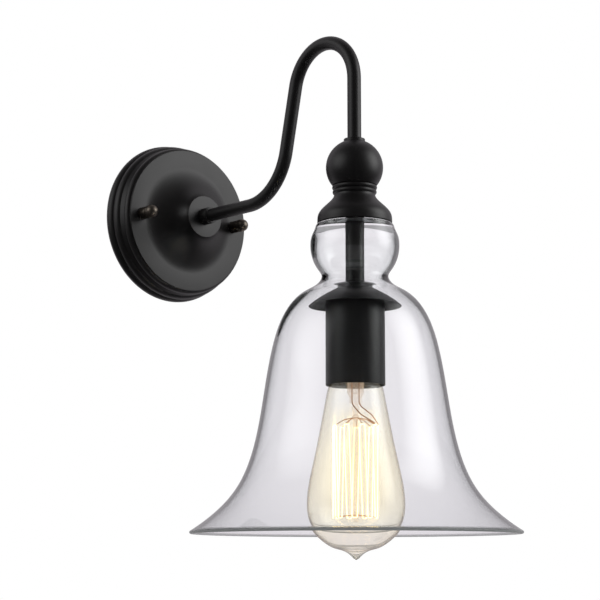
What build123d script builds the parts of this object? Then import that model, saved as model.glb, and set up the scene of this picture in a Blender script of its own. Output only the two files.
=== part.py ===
from build123d import *
import math
import os

# Wall sconce: a round backplate, a gooseneck arm, a turned ball and cap, and a clear glass bell
# over a screw-base bulb. Millimetres. The origin is the backplate's centre on the wall plane,
# the wall is the plane Y = 0, the lamp stands out towards -Y, and +Z is up.

# Overall sizes
shade_axis_reach = 212.0
bell_radius = 110.0
bell_height = 170.3
gooseneck_top = 102.7

# Clearances, shared by all pieces
thread_clearance = 0.05
slip_clearance = 0.1
touch_gap = 0.3
overrun = 5.0

# Backplate
plate_radius = 60.2
plate_depth = 24.25
plate_wall = 1.5
first_ridge_depth = 8.0
second_ridge_depth = 6.5
cove_depth = 3.2
third_ridge_depth = 5.5
first_groove_radius = plate_radius - 2.2
second_ridge_radius = plate_radius - 1.4
cove_radius = plate_radius - 5.2
third_ridge_radius = plate_radius - 4.3
front_rim_radius = plate_radius - 6.3
front_rim_fillet = 0.5
front_ring_inner_radius = plate_radius - 22.2
hub_rise = 19.2
hub_radius = 15.1
# Shares of the sweep from ring to hub: (share of the way in, share of the rise)
hub_sweep_shares = ((0.0, 0.0), (0.122, 0.042), (0.288, 0.122), (0.52, 0.266), (0.751, 0.475),
                    (0.926, 0.75), (1.0, 1.0))

# M10 hardware: threaded tubes, nuts and washers
nipple_radius = 5.0
nipple_bore = nipple_radius - 1.3
nut_flats = 14.0
nut_thickness = 3.0
lock_washer_radius = 8.5
lock_washer_thickness = 1.0
thread_stand_out = 1.5

# Gooseneck arm
arm_radius = 4.75
arm_wall = 0.9
top_bend_radius = 31.45
lower_bend_radius = 42.5
leg_lean = 13.1
arm_seat_depth = 15.0
collar_seat_length = 4.5

# Hub washer and arm collar
hub_washer_radius = hub_radius + 0.65
hub_washer_thickness = 1.0
collar_radius = max(nipple_radius, arm_radius) + 1.2
collar_length = 8.6
collar_lip_radius = arm_radius + 0.85
collar_lip_length = 0.9
collar_edge_fillet = 0.5

# Crossbar, studs and cap nuts
stud_spacing = 2 * (plate_radius - 17.6)
crossbar_length = 2 * (plate_radius - 9.2)
crossbar_width = 18.0
crossbar_thickness = 2.0
crossbar_centre_hole_radius = 5.5
crossbar_corner_radius = 4.0
crossbar_tab_margin = 2.0
wall_slot_spacing = 60.0
wall_slot_length = 14.0
wall_slot_width = 4.6
stud_radius = 2.0
stud_stand_out = 9.0
stud_nut_flats = 7.0
stud_nut_thickness = 3.2
ground_screw_place = 14.0
ground_screw_radius = 2.0
ground_screw_head_radius = 4.0
ground_screw_head_height = 2.6
ground_screw_tip = 1.2
screw_slot_width = 0.9
screw_slot_depth = 1.1
cap_nut_barrel_radius = 4.5
cap_nut_barrel_length = 8.0
cap_nut_neck_radius = 3.9
cap_nut_neck_length = 0.8
cap_nut_ring_radius = 4.85
cap_nut_ring_length = 1.6
cap_nut_head_radius = 4.7
cap_nut_head_length = 5.6
cap_nut_thread_depth = 9.6

# Terminal block and leads
wire_radius = 1.0
wire_spacing = 2 * (min(nipple_bore, arm_radius - arm_wall) - touch_gap - wire_radius)
wire_bend_radius = 7.0
wire_drop = 17.0
block_width = 12.0
block_depth = 8.0
block_height = 14.0
block_wire_depth = 5.0
block_edge_fillet = 0.8
block_screw_radius = 1.25
block_screw_length = 2.5

# Turned stack: ball, neck ring and cap
ball_radius = 19.5
ball_centre_level = 8.5
ball_base_drop = 12.3
ball_collar_radius = arm_radius + 2.55
ball_collar_height = 2.0
neck_height = 6.4
cap_height = 20.0
cap_top_radius = 14.0
neck_groove_radius = cap_top_radius + 0.2
neck_bead_radii = (cap_top_radius + 1.3, cap_top_radius + 1.0)
cap_bottom_radius = 25.4
cap_roof_thickness = 11.5
cap_rim_wall = 1.2
cap_shoulder_width = 2.7
cap_shoulder_height = 4.0
# Shares of the cap's flare: (share of the way out, share of the way down)
cap_flare_shares = ((0.0, 0.0), (0.19, 0.21), (0.70, 0.49), (0.95, 0.70), (1.0, 1.0))

# Glass shade
gasket_thickness = 1.2
glass_roof_thickness = 4.6
glass_collar_gap = 0.6
glass_collar_fillet = 4.5
glass_hole_radius = nipple_radius + 0.6
globe_radius = 30.1
globe_height = 36.5
globe_wall = 3.1
shade_neck_radius = 22.5
shade_neck_wall = 3.2
bell_wall = 2.4
rim_wall = 2.2
rim_bulge = 0.33
# Shares of the globe's outline: (share of the way out from the collar above the widest point
# and from the neck below it, share of the way down from the cap's rim to the neck)
upper_globe_shares = ((0.333, 0.02), (0.532, 0.10), (0.883, 0.25))
lower_globe_shares = ((1.0, 0.43), (0.92, 0.58), (0.665, 0.74), (0.355, 0.85))
# Shares of the bell's outline: (share of the way out from neck to rim, share of the way down)
bell_outline_shares = ((0.0115, 0.0164), (0.142, 0.0646), (0.283, 0.144), (0.383, 0.288),
                       (0.453, 0.493), (0.525, 0.681), (0.654, 0.837), (0.890, 0.961),
                       (1.0, 1.0))
# Shares of the thick top's inner outline, from the clamp's flat to the globe's wall
roof_outline_shares = ((0.0, 0.0), (0.11, 0.09), (0.33, 0.33), (0.50, 0.45), (0.86, 0.66),
                       (1.0, 1.0))
clamp_flat_radius = 13.2
clamp_washer_radius = 12.5
clamp_washer_thickness = 1.2
lower_gasket_thickness = 1.0

# Down tube, disc and socket cup
tube_radius = nipple_radius + 1.35
tube_bore = nipple_radius - 1.0
tube_length = 44.5
tube_thread_depth = 10.0
tube_edge_chamfer = 0.5
disc_radius = 31.6
disc_drop = 11.9
disc_thickness = 1.0
disc_lock_nut_thickness = 5.0
cup_radius = 20.0
cup_wall = 1.0
cup_length = 60.3
cup_edge_fillet = 1.2
cup_rim_chamfer = 0.3

# Lampholder
holder_radius = cup_radius - cup_wall - 0.5
holder_cap_wall = 1.6
holder_cap_roof = 2.0
holder_cap_boss_radius = 8.0
holder_cap_boss_height = 3.4
holder_cap_height = 11.0
holder_mouth_rise = 1.0
terminal_boss_radius = 14.0
base_radius = 13.05
screw_shell_radius = base_radius + touch_gap
screw_shell_wall = 0.4
screw_shell_flange_radius = 9.0
contact_radius = 4.0
contact_thickness = 1.0
contact_recess = 2.5
terminal_screw_radius = 1.6
terminal_screw_head_radius = 3.0
terminal_screw_head_height = 1.8

# Bulb
bulb_radius = 32.5
bulb_length = 146.6
bulb_tip_below_cup = 115.5
bulb_wall = 0.8
bulb_sleeve_height = 2.8
base_height = 25.4
base_root_radius = base_radius - 0.7
base_wall = 0.3
base_ring_count = 4
base_plain_height = 4.0
base_insulator_height = 5.0
base_contact_radius = 4.6
base_contact_height = 1.2
base_contact_dome_share = 0.8
# Shares of the bulb's outline: (share of its radius, share of its length below the base)
bulb_outline_shares = ((0.511, 0.030), (0.597, 0.102), (0.695, 0.241),
                       (0.797, 0.382), (0.908, 0.521), (0.978, 0.626), (1.0, 0.695),
                       (0.988, 0.764), (0.892, 0.840), (0.668, 0.902), (0.440, 0.937),
                       (0.258, 0.951))
# Shares of the drawn tip below the outline
bulb_tip_shares = ((0.129, 0.972), (0.06, 0.99), (0.0, 1.0))
stem_radius = 5.65
stem_wall = 0.9
stem_flare_height = 6.0
stem_length = 16.4
stem_pinch_width = 9.6
stem_pinch_thickness = 3.4
stem_pinch_height = 3.8
stem_pinch_corner_share = 0.4
# Share of the stem's radius at the middle of its rounded foot, and the foot's rise there
stem_foot_shares = (0.8, 0.15)
rod_radius = 1.6
rod_bead_radius = 2.6
rod_bead_gap = 0.6
rod_overhang = 3.0
lead_radius = 0.4
lead_spread = 3.2
lead_bow = 6.0
first_hook_angle = 320
support_radius = 0.25
support_count = 9
support_rise = 6.0
support_bead_radius = 2.4
cage_radius = 15.3
cage_height = 62.9
cage_top_drop = 32.9
filament_radius = 0.3

# Levels and planes worked out from the sizes above
ball_base_level = ball_centre_level - ball_base_drop
cap_top_level = ball_base_level - neck_height
cap_base_level = cap_top_level - cap_height
cap_roof_level = cap_top_level - cap_roof_thickness
glass_top_level = cap_roof_level - gasket_thickness
glass_roof_level = glass_top_level - glass_roof_thickness
clamp_washer_level = glass_roof_level - lower_gasket_thickness
tube_top_level = clamp_washer_level - clamp_washer_thickness
tube_base_level = tube_top_level - tube_length
disc_base_level = tube_base_level - disc_thickness
cup_top_level = disc_base_level - disc_lock_nut_thickness
cup_roof_level = cup_top_level - cup_wall
cup_base_level = cup_top_level - cup_length
shade_neck_level = cap_base_level - globe_height

hub_level = plate_depth + hub_rise
washer_front_level = hub_level + hub_washer_thickness
collar_front_level = washer_front_level + collar_length

stack = Plane.XZ.offset(shade_axis_reach)
stack_axis = Axis((0, -shade_axis_reach, 0), (0, 0, 1))
wall_axis = Axis.Y

os.makedirs("parts", exist_ok=True)


def finish(piece, name, colour):
    """Label a finished piece and write its file."""
    piece.part.label = name
    piece.part.color = Color(*colour)
    export_step(piece.part, f"parts/{name}.step")


def level(height):
    """Horizontal plane at a height on the shade's axis."""
    return Plane(origin=(0, -shade_axis_reach, height))


def facing_room(distance):
    """Plane parallel to the wall, at a distance in front of it, facing the room."""
    return Plane.XZ.offset(distance)


def inset(points, walls):
    """Points moved square to their line by a wall each, towards the axis and upwards."""
    moved = []
    for index, (point, wall) in enumerate(zip(points, walls)):
        before = points[max(index - 1, 0)]
        after = points[min(index + 1, len(points) - 1)]
        run = math.hypot(after[0] - before[0], after[1] - before[1])
        across = (after[1] - before[1]) / run
        along = (after[0] - before[0]) / run
        moved.append((point[0] + wall * across, point[1] - wall * along))
    return moved


painted = (0.06, 0.06, 0.06)
steel = (0.62, 0.63, 0.65)
brass = (0.75, 0.6, 0.3)
rubber = (0.12, 0.12, 0.12)
clear = (0.8, 0.88, 0.86, 0.35)

# Backplate: a shell with three ridges, a flat front ring and a cove that sweeps up to the hub
first_groove_depth = first_ridge_depth
second_groove_depth = first_groove_depth + second_ridge_depth
third_ridge_start = second_groove_depth + cove_depth
rim_groove_depth = third_ridge_start + third_ridge_depth
sweep_points = [
    (front_ring_inner_radius - inward * (front_ring_inner_radius - hub_radius),
     -plate_depth - rise * hub_rise)
    for inward, rise in hub_sweep_shares]
inner_sweep_points = inset(sweep_points, [plate_wall] * len(sweep_points))
with BuildPart() as backplate:
    with BuildSketch(Plane.XY):
        with BuildLine():
            first = ThreePointArc(
                (first_groove_radius, 0),
                (plate_radius, -first_ridge_depth / 2),
                (first_groove_radius, -first_groove_depth))
            second = ThreePointArc(
                first @ 1,
                (second_ridge_radius, -(first_groove_depth + second_groove_depth) / 2),
                (cove_radius + plate_wall, -second_groove_depth))
            cove = Line(second @ 1, (cove_radius, -third_ridge_start))
            third = ThreePointArc(
                cove @ 1,
                (third_ridge_radius, -(third_ridge_start + rim_groove_depth) / 2),
                (front_rim_radius - front_rim_fillet, -rim_groove_depth))
            Polyline(
                third @ 1,
                (front_rim_radius, -plate_depth + front_rim_fillet),
                (front_rim_radius - front_rim_fillet, -plate_depth),
                (front_ring_inner_radius, -plate_depth))
            sweep_up = Spline(*sweep_points)
            Polyline(sweep_up @ 1, (0, -hub_level), (0, 0), first @ 0)
        make_face()
    revolve(axis=wall_axis)
    with BuildSketch(Plane.XY):
        with BuildLine():
            inner_sweep = Spline(*inner_sweep_points)
            Polyline(
                inner_sweep @ 1,
                (0, (inner_sweep @ 1).Y),
                (0, overrun),
                (first_groove_radius - plate_wall, overrun),
                (first_groove_radius - plate_wall, -first_groove_depth),
                (cove_radius - plate_wall, -second_groove_depth),
                (front_rim_radius - 2 * plate_wall, -rim_groove_depth),
                (front_rim_radius - 2 * plate_wall, -plate_depth + plate_wall),
                inner_sweep @ 0)
        make_face()
        with Locations((0, -hub_level)):
            Rectangle(2 * hub_radius, 2 * plate_wall, mode=Mode.SUBTRACT)
    revolve(axis=wall_axis, mode=Mode.SUBTRACT)
    with BuildSketch(facing_room(0)):
        Circle(nipple_radius + slip_clearance)
        with GridLocations(stud_spacing, 0, 2, 1):
            Circle(stud_radius + touch_gap)
    extrude(amount=hub_level + overrun, mode=Mode.SUBTRACT)
finish(backplate, "backplate", painted)

with BuildPart() as hub_washer:
    with BuildSketch(facing_room(hub_level)):
        Circle(hub_washer_radius)
        Circle(nipple_radius + slip_clearance, mode=Mode.SUBTRACT)
    extrude(amount=hub_washer_thickness)
finish(hub_washer, "hub_washer", painted)

with BuildPart() as arm_collar:
    with BuildSketch(facing_room(washer_front_level)):
        Circle(collar_radius)
    extrude(amount=collar_length - collar_lip_length)
    fillet(arm_collar.edges().sort_by(Axis.Y)[0], collar_edge_fillet)
    with BuildSketch(facing_room(collar_front_level - collar_lip_length)):
        Circle(collar_lip_radius)
    extrude(amount=collar_lip_length)
    with BuildSketch(facing_room(washer_front_level)):
        Circle(nipple_radius + thread_clearance)
    extrude(amount=collar_length - collar_seat_length, mode=Mode.SUBTRACT)
    with BuildSketch(facing_room(collar_front_level)):
        Circle(arm_radius + thread_clearance)
    extrude(amount=-collar_seat_length, mode=Mode.SUBTRACT)
finish(arm_collar, "arm_collar", painted)

# Gooseneck: a straight drop, the top bend, the leaning leg, the lower bend and the run to the wall
lean = math.radians(leg_lean)
arm_foot_level = ball_centre_level + ball_radius - arm_seat_depth
bend_start_level = gooseneck_top - top_bend_radius
leg_top_level = bend_start_level + top_bend_radius * math.sin(lean)
leg_drop = leg_top_level - lower_bend_radius * (1 - math.sin(lean))
arm_end_place = -(collar_front_level - collar_seat_length)


def arm_route(side, foot, end):
    """Edges of the arm's centreline, or of a lead beside it, from foot to wall."""
    with BuildLine(Plane.YZ.offset(side)) as route:
        drop = Line((-shade_axis_reach, foot), (-shade_axis_reach, bend_start_level))
        JernArc(drop @ 1, (0, 1), top_bend_radius, -(180 - leg_lean))
        leg_end = (
            top_bend_radius * (1 + math.cos(lean)) - shade_axis_reach
            + leg_drop * math.tan(lean),
            leg_top_level - leg_drop)
        leg = Line((-shade_axis_reach + top_bend_radius * (1 + math.cos(lean)), leg_top_level),
                   leg_end)
        lower = JernArc(leg @ 1, (math.sin(lean), -math.cos(lean)), lower_bend_radius,
                        90 - leg_lean)
        Line((leg_end[0] + lower_bend_radius * math.cos(lean), 0), (end, 0))
    return route.line


arm_path = arm_route(0, arm_foot_level, arm_end_place)
with BuildPart() as gooseneck_arm:
    with BuildSketch(level(arm_foot_level)):
        Circle(arm_radius)
        Circle(arm_radius - arm_wall, mode=Mode.SUBTRACT)
    sweep(path=arm_path)
finish(gooseneck_arm, "gooseneck_arm", painted)

# Threaded tube at the arm's wall end, with its washer and nut inside the hub
hub_inner_level = plate_wall - hub_level
arm_nipple_length = (
    -arm_end_place + hub_inner_level + lock_washer_thickness + nut_thickness + thread_stand_out)
lock_nut_start = -hub_inner_level - lock_washer_thickness - nut_thickness
with BuildPart() as arm_nipple:
    with BuildSketch(facing_room(-arm_end_place - arm_nipple_length)):
        Circle(nipple_radius)
        Circle(nipple_bore, mode=Mode.SUBTRACT)
    extrude(amount=arm_nipple_length)
finish(arm_nipple, "arm_nipple", steel)

with BuildPart() as lock_washer:
    with BuildSketch(facing_room(lock_nut_start + nut_thickness)):
        Circle(lock_washer_radius)
        Circle(nipple_radius + slip_clearance, mode=Mode.SUBTRACT)
    extrude(amount=lock_washer_thickness)
finish(lock_washer, "lock_washer", steel)

with BuildPart() as lock_nut:
    with BuildSketch(facing_room(lock_nut_start)):
        RegularPolygon(nut_flats / 2, 6, major_radius=False)
        Circle(nipple_radius + thread_clearance, mode=Mode.SUBTRACT)
    extrude(amount=nut_thickness)
finish(lock_nut, "lock_nut", steel)

# Crossbar on the wall, its studs and their lock nuts
stud_places = GridLocations(stud_spacing, 0, 2, 1)
block_top_level = -wire_drop
tab_length = wire_drop + block_height + crossbar_tab_margin
with BuildPart() as crossbar:
    with BuildSketch(facing_room(0)):
        RectangleRounded(crossbar_length, crossbar_width, crossbar_corner_radius)
        with Locations((0, -tab_length / 2)):
            Rectangle(block_width + 2 * crossbar_tab_margin, tab_length)
        Circle(crossbar_centre_hole_radius, mode=Mode.SUBTRACT)
        with stud_places:
            Circle(stud_radius + thread_clearance, mode=Mode.SUBTRACT)
        with GridLocations(wall_slot_spacing, 0, 2, 1):
            SlotOverall(wall_slot_length, wall_slot_width, mode=Mode.SUBTRACT)
        with Locations((ground_screw_place, 0)):
            Circle(ground_screw_radius + thread_clearance, mode=Mode.SUBTRACT)
    extrude(amount=crossbar_thickness)
finish(crossbar, "crossbar", steel)

with BuildPart() as studs:
    with BuildSketch(facing_room(0)):
        with stud_places:
            Circle(stud_radius)
    extrude(amount=plate_depth + stud_stand_out)
finish(studs, "studs", steel)

with BuildPart() as stud_lock_nuts:
    with BuildSketch(facing_room(crossbar_thickness)):
        with stud_places:
            RegularPolygon(stud_nut_flats / 2, 6, major_radius=False)
            Circle(stud_radius + thread_clearance, mode=Mode.SUBTRACT)
    extrude(amount=stud_nut_thickness)
finish(stud_lock_nuts, "stud_lock_nuts", steel)

with BuildPart() as ground_screw:
    with BuildSketch(facing_room(ground_screw_tip)):
        with Locations((ground_screw_place, 0)):
            Circle(ground_screw_radius)
    extrude(amount=crossbar_thickness - ground_screw_tip)
    with BuildSketch(facing_room(crossbar_thickness)):
        with Locations((ground_screw_place, 0)):
            Circle(ground_screw_head_radius)
    extrude(amount=ground_screw_head_height)
    with BuildSketch(facing_room(crossbar_thickness + ground_screw_head_height)):
        with Locations((ground_screw_place, 0)):
            Rectangle(2 * ground_screw_head_radius + overrun, screw_slot_width)
    extrude(amount=-screw_slot_depth, mode=Mode.SUBTRACT)
finish(ground_screw, "ground_screw", (0.2, 0.5, 0.25))

# Ball-ended cap nuts: barrel, neck, ring and domed head, with a blind thread for the stud
nut_ring_start = cap_nut_barrel_length + cap_nut_neck_length
nut_head_start = nut_ring_start + cap_nut_ring_length
nut_top = nut_head_start + cap_nut_head_length
nut_profile = (
    (0, 0),
    (cap_nut_barrel_radius, 0),
    (cap_nut_barrel_radius, cap_nut_barrel_length),
    (cap_nut_neck_radius, cap_nut_barrel_length),
    (cap_nut_neck_radius, nut_ring_start),
    (cap_nut_ring_radius, nut_ring_start),
    (cap_nut_ring_radius, nut_head_start),
    (cap_nut_head_radius, nut_head_start),
    (cap_nut_head_radius, nut_top - cap_nut_head_radius))
for nut_name, nut_side in (("left_cap_nut", -1), ("right_cap_nut", 1)):
    nut_centre = nut_side * stud_spacing / 2
    nut_plane = Plane(origin=(nut_centre, -plate_depth, 0), x_dir=(1, 0, 0), z_dir=(0, 0, -1))
    with BuildPart() as cap_nut:
        with BuildSketch(nut_plane):
            with BuildLine():
                outline = Polyline(*nut_profile)
                head = CenterArc((0, nut_top - cap_nut_head_radius), cap_nut_head_radius, 0, 90)
                Line(head @ 1, outline @ 0)
            make_face()
        revolve(axis=Axis((nut_centre, 0, 0), (0, 1, 0)))
        with BuildSketch(facing_room(plate_depth)):
            with Locations((nut_centre, 0)):
                Circle(stud_radius + thread_clearance)
        extrude(amount=cap_nut_thread_depth, mode=Mode.SUBTRACT)
    finish(cap_nut, nut_name, (0.25, 0.22, 0.18))

# Terminal block on the crossbar's tab, under the arm's nipple, with the leads ending in its top
block_front = crossbar_thickness + block_depth
tail_end_level = block_top_level - block_wire_depth
tail_place = -crossbar_thickness - block_depth / 2
block_base_level = block_top_level - block_height
clamp_rows = (block_top_level - block_wire_depth / 2, block_base_level + block_wire_depth / 2)
with BuildPart() as terminal_block:
    with BuildSketch(facing_room(crossbar_thickness)):
        with Locations((0, block_top_level - block_height / 2)):
            Rectangle(block_width, block_height)
    extrude(amount=block_depth)
    fillet(terminal_block.edges().filter_by(Axis.Y), block_edge_fillet)
    for face_level, inward in ((block_top_level, -1), (block_base_level, 1)):
        with BuildSketch(Plane(origin=(0, tail_place, face_level))):
            with GridLocations(wire_spacing, 0, 2, 1):
                Circle(wire_radius + slip_clearance)
        extrude(amount=inward * (block_wire_depth + touch_gap), mode=Mode.SUBTRACT)
    with BuildSketch(facing_room(block_front)):
        for row in clamp_rows:
            with Locations((0, row)):
                with GridLocations(wire_spacing, 0, 2, 1):
                    Circle(block_screw_radius + slip_clearance)
    extrude(amount=-block_depth / 2, mode=Mode.SUBTRACT)
finish(terminal_block, "terminal_block", (0.9, 0.9, 0.86))

with BuildPart() as block_screws:
    with BuildSketch(facing_room(block_front - block_depth / 2 + wire_radius + slip_clearance)):
        for row in clamp_rows:
            with Locations((0, row)):
                with GridLocations(wire_spacing, 0, 2, 1):
                    Circle(block_screw_radius)
    extrude(amount=block_screw_length)
finish(block_screws, "block_screws", brass)

# Ball: a sphere cut flat below, with a small collar round the arm above
ball_top_level = ball_centre_level + math.sqrt(ball_radius ** 2 - ball_collar_radius ** 2)
with BuildPart() as ball:
    with BuildSketch(stack):
        with BuildLine():
            ball_base = math.sqrt(ball_radius ** 2 - ball_base_drop ** 2)
            around = ThreePointArc(
                (ball_base, ball_base_level),
                (ball_radius, ball_centre_level),
                (ball_collar_radius, ball_top_level))
            Polyline(
                around @ 1,
                (ball_collar_radius, ball_top_level + ball_collar_height),
                (0, ball_top_level + ball_collar_height),
                (0, ball_base_level),
                around @ 0)
        make_face()
    revolve(axis=stack_axis)
    with BuildSketch(level(arm_foot_level)):
        Circle(arm_radius + thread_clearance)
    extrude(amount=2 * ball_radius, mode=Mode.SUBTRACT)
    with BuildSketch(level(ball_base_level)):
        Circle(nipple_bore)
    extrude(amount=ball_radius, mode=Mode.SUBTRACT)
    with BuildSketch(level(ball_base_level)):
        Circle(nipple_radius + thread_clearance)
    extrude(amount=ball_base_drop - arm_seat_depth / 2, mode=Mode.SUBTRACT)
finish(ball, "ball", painted)
stem_nipple_top = ball_centre_level - arm_seat_depth / 2

# Neck ring: two beads, one below the other
bead_height = neck_height / 2
with BuildPart() as neck_ring:
    with BuildSketch(stack):
        with BuildLine():
            upper = ThreePointArc(
                (neck_groove_radius, ball_base_level),
                (neck_bead_radii[0], ball_base_level - bead_height / 2),
                (neck_groove_radius, ball_base_level - bead_height))
            lower = ThreePointArc(
                upper @ 1,
                (neck_bead_radii[1], ball_base_level - 3 * bead_height / 2),
                (cap_top_radius, cap_top_level))
            Polyline(
                lower @ 1,
                (nipple_radius + slip_clearance, cap_top_level),
                (nipple_radius + slip_clearance, ball_base_level),
                upper @ 0)
        make_face()
    revolve(axis=stack_axis)
finish(neck_ring, "neck_ring", painted)

# Cap: a flare over the top of the glass, hollow below its roof
glass_collar_radius = cap_bottom_radius - cap_rim_wall - glass_collar_gap
cap_flare_width = cap_bottom_radius - cap_top_radius
cap_outline = [
    (cap_top_radius + out * cap_flare_width, cap_top_level - down * cap_height)
    for out, down in cap_flare_shares]
with BuildPart() as shade_cap:
    with BuildSketch(stack):
        with BuildLine():
            flare = Spline(*cap_outline, tangents=((0, -1), (0, -1)))
            Polyline(
                flare @ 1,
                (cap_bottom_radius - cap_rim_wall, cap_base_level),
                (cap_bottom_radius - cap_rim_wall, cap_roof_level - cap_shoulder_height),
                (cap_bottom_radius - cap_rim_wall - cap_shoulder_width, cap_roof_level),
                (nipple_radius + slip_clearance, cap_roof_level),
                (nipple_radius + slip_clearance, cap_top_level),
                flare @ 0)
        make_face()
    revolve(axis=stack_axis)
finish(shade_cap, "shade_cap", painted)

with BuildPart() as stem_nipple:
    with BuildSketch(level(tube_top_level - tube_thread_depth)):
        Circle(nipple_radius)
        Circle(nipple_bore, mode=Mode.SUBTRACT)
    extrude(amount=stem_nipple_top - tube_top_level + tube_thread_depth)
finish(stem_nipple, "stem_nipple", steel)

with BuildPart() as upper_gasket:
    with BuildSketch(level(glass_top_level)):
        Circle(glass_collar_radius - glass_collar_fillet)
        Circle(nipple_radius + slip_clearance, mode=Mode.SUBTRACT)
    extrude(amount=gasket_thickness)
finish(upper_gasket, "upper_gasket", rubber)

# Glass shade: thick clamped top, globe, neck and bell, blown in one piece
globe_outline = [
    (inner_end + out * (globe_radius - inner_end), cap_base_level - down * globe_height)
    for inner_end, shares in ((glass_collar_radius, upper_globe_shares),
                              (shade_neck_radius, lower_globe_shares))
    for out, down in shares]
bell_step = bell_radius - rim_bulge - shade_neck_radius
bell_outline = [
    (shade_neck_radius + out * bell_step, shade_neck_level - down * bell_height)
    for out, down in bell_outline_shares]
outer_points = globe_outline + [(shade_neck_radius, shade_neck_level)] + bell_outline
globe_count = len(globe_outline)
widest = len(upper_globe_shares)
bell_count = len(bell_outline)
walls = (
    [globe_wall] * globe_count + [shade_neck_wall]
    + [bell_wall + (rim_wall - bell_wall) * step / (bell_count - 1) for step in range(bell_count)])
inner_points = inset(outer_points, walls)[widest:]
roof_step = inner_points[0][0] - clamp_flat_radius
roof_points = [
    (clamp_flat_radius + out * roof_step,
     glass_roof_level - down * (glass_roof_level - inner_points[0][1]))
    for out, down in roof_outline_shares[:-1]]
with BuildPart() as glass_shade:
    with BuildSketch(stack):
        with BuildLine():
            collar = Line((glass_collar_radius, glass_top_level - glass_collar_fillet),
                          (glass_collar_radius, cap_base_level - touch_gap))
            outside = Spline(collar @ 1, *outer_points)
            inside = Spline(*roof_points, *inner_points)
            edge = ThreePointArc(
                outside @ 1,
                ((outside @ 1 + inside @ 1) / 2 + Vector(rim_wall, -rim_wall) / 3),
                inside @ 1)
            Polyline(
                inside @ 0,
                (glass_hole_radius, glass_roof_level),
                (glass_hole_radius, glass_top_level),
                (glass_collar_radius - glass_collar_fillet, glass_top_level))
            ThreePointArc(
                (glass_collar_radius - glass_collar_fillet, glass_top_level),
                (glass_collar_radius - glass_collar_fillet * (1 - math.sqrt(0.5)),
                 glass_top_level - glass_collar_fillet * (1 - math.sqrt(0.5))),
                collar @ 0)
        make_face()
    revolve(axis=stack_axis)
finish(glass_shade, "glass_shade", clear)

with BuildPart() as lower_gasket:
    with BuildSketch(level(clamp_washer_level)):
        Circle(clamp_washer_radius)
        Circle(nipple_radius + slip_clearance, mode=Mode.SUBTRACT)
    extrude(amount=lower_gasket_thickness)
finish(lower_gasket, "lower_gasket", rubber)

with BuildPart() as clamp_washer:
    with BuildSketch(level(tube_top_level)):
        Circle(clamp_washer_radius)
        Circle(nipple_radius + slip_clearance, mode=Mode.SUBTRACT)
    extrude(amount=clamp_washer_thickness)
finish(clamp_washer, "clamp_washer", steel)

# Down tube, threaded inside at both ends: its upper end clamps the glass
with BuildPart() as down_tube:
    with BuildSketch(level(tube_base_level)):
        Circle(tube_radius)
        Circle(tube_bore, mode=Mode.SUBTRACT)
    extrude(amount=tube_length)
    for end_level, inward in ((tube_top_level, -1), (tube_base_level, 1)):
        with BuildSketch(level(end_level)):
            Circle(nipple_radius + thread_clearance)
        extrude(amount=inward * (tube_thread_depth + touch_gap), mode=Mode.SUBTRACT)
    chamfer(down_tube.edges().filter_by(GeomType.CIRCLE).group_by(
        lambda edge: round(edge.radius, 3))[-1], tube_edge_chamfer)
finish(down_tube, "down_tube", painted)

# Disc over the socket: a thin spherical cap with a flat seat round the nipple
flat_radius = nut_flats / 2 / math.cos(math.radians(30)) + slip_clearance
disc_sphere = (disc_radius ** 2 - flat_radius ** 2 + disc_drop ** 2) / (2 * disc_drop)
disc_sphere_radius = math.hypot(disc_radius, disc_sphere - disc_drop)
disc_centre_level = tube_base_level - math.sqrt(disc_sphere_radius ** 2 - flat_radius ** 2)
disc_inner_radius = disc_sphere_radius - disc_thickness
nipple_hole = nipple_radius + slip_clearance
disc_rim_level = tube_base_level - disc_drop
with BuildPart() as shade_disc:
    with BuildSketch(stack):
        with BuildLine():
            crown = RadiusArc((flat_radius, tube_base_level), (disc_radius, disc_rim_level),
                              disc_sphere_radius)
            underside = RadiusArc(
                (math.sqrt(disc_inner_radius ** 2 - (disc_rim_level - disc_centre_level) ** 2),
                 disc_rim_level),
                (flat_radius, disc_centre_level
                 + math.sqrt(disc_inner_radius ** 2 - flat_radius ** 2)),
                -disc_inner_radius)
            Line(crown @ 1, underside @ 0)
            Polyline(
                underside @ 1,
                (nipple_hole, (underside @ 1).Y),
                (nipple_hole, tube_base_level),
                crown @ 0)
        make_face()
    revolve(axis=stack_axis)
finish(shade_disc, "shade_disc", painted)
disc_seat_level = (underside @ 1).Y

with BuildPart() as disc_lock_nut:
    with BuildSketch(level(disc_seat_level)):
        RegularPolygon(nut_flats / 2, 6, major_radius=False)
        Circle(nipple_radius + thread_clearance, mode=Mode.SUBTRACT)
    extrude(amount=cup_top_level - disc_seat_level)
finish(disc_lock_nut, "disc_lock_nut", steel)

# Socket cup: a drawn cylinder, open below
with BuildPart() as socket_cup:
    with BuildSketch(level(cup_base_level)):
        Circle(cup_radius)
    extrude(amount=cup_length)
    fillet(socket_cup.edges().sort_by(Axis.Z)[-1], cup_edge_fillet)
    with BuildSketch(level(cup_base_level)):
        Circle(cup_radius - cup_wall)
    extrude(amount=cup_length - cup_wall, mode=Mode.SUBTRACT)
    with BuildSketch(level(cup_roof_level)):
        Circle(nipple_hole)
    extrude(amount=cup_wall, mode=Mode.SUBTRACT)
    chamfer(socket_cup.edges().group_by(Axis.Z)[0].sort_by(SortBy.LENGTH)[-1], cup_rim_chamfer)
finish(socket_cup, "socket_cup", painted)

with BuildPart() as socket_lock_nut:
    with BuildSketch(level(cup_roof_level - nut_thickness)):
        RegularPolygon(nut_flats / 2, 6, major_radius=False)
        Circle(nipple_radius + thread_clearance, mode=Mode.SUBTRACT)
    extrude(amount=nut_thickness)
finish(socket_lock_nut, "socket_lock_nut", steel)

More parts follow.
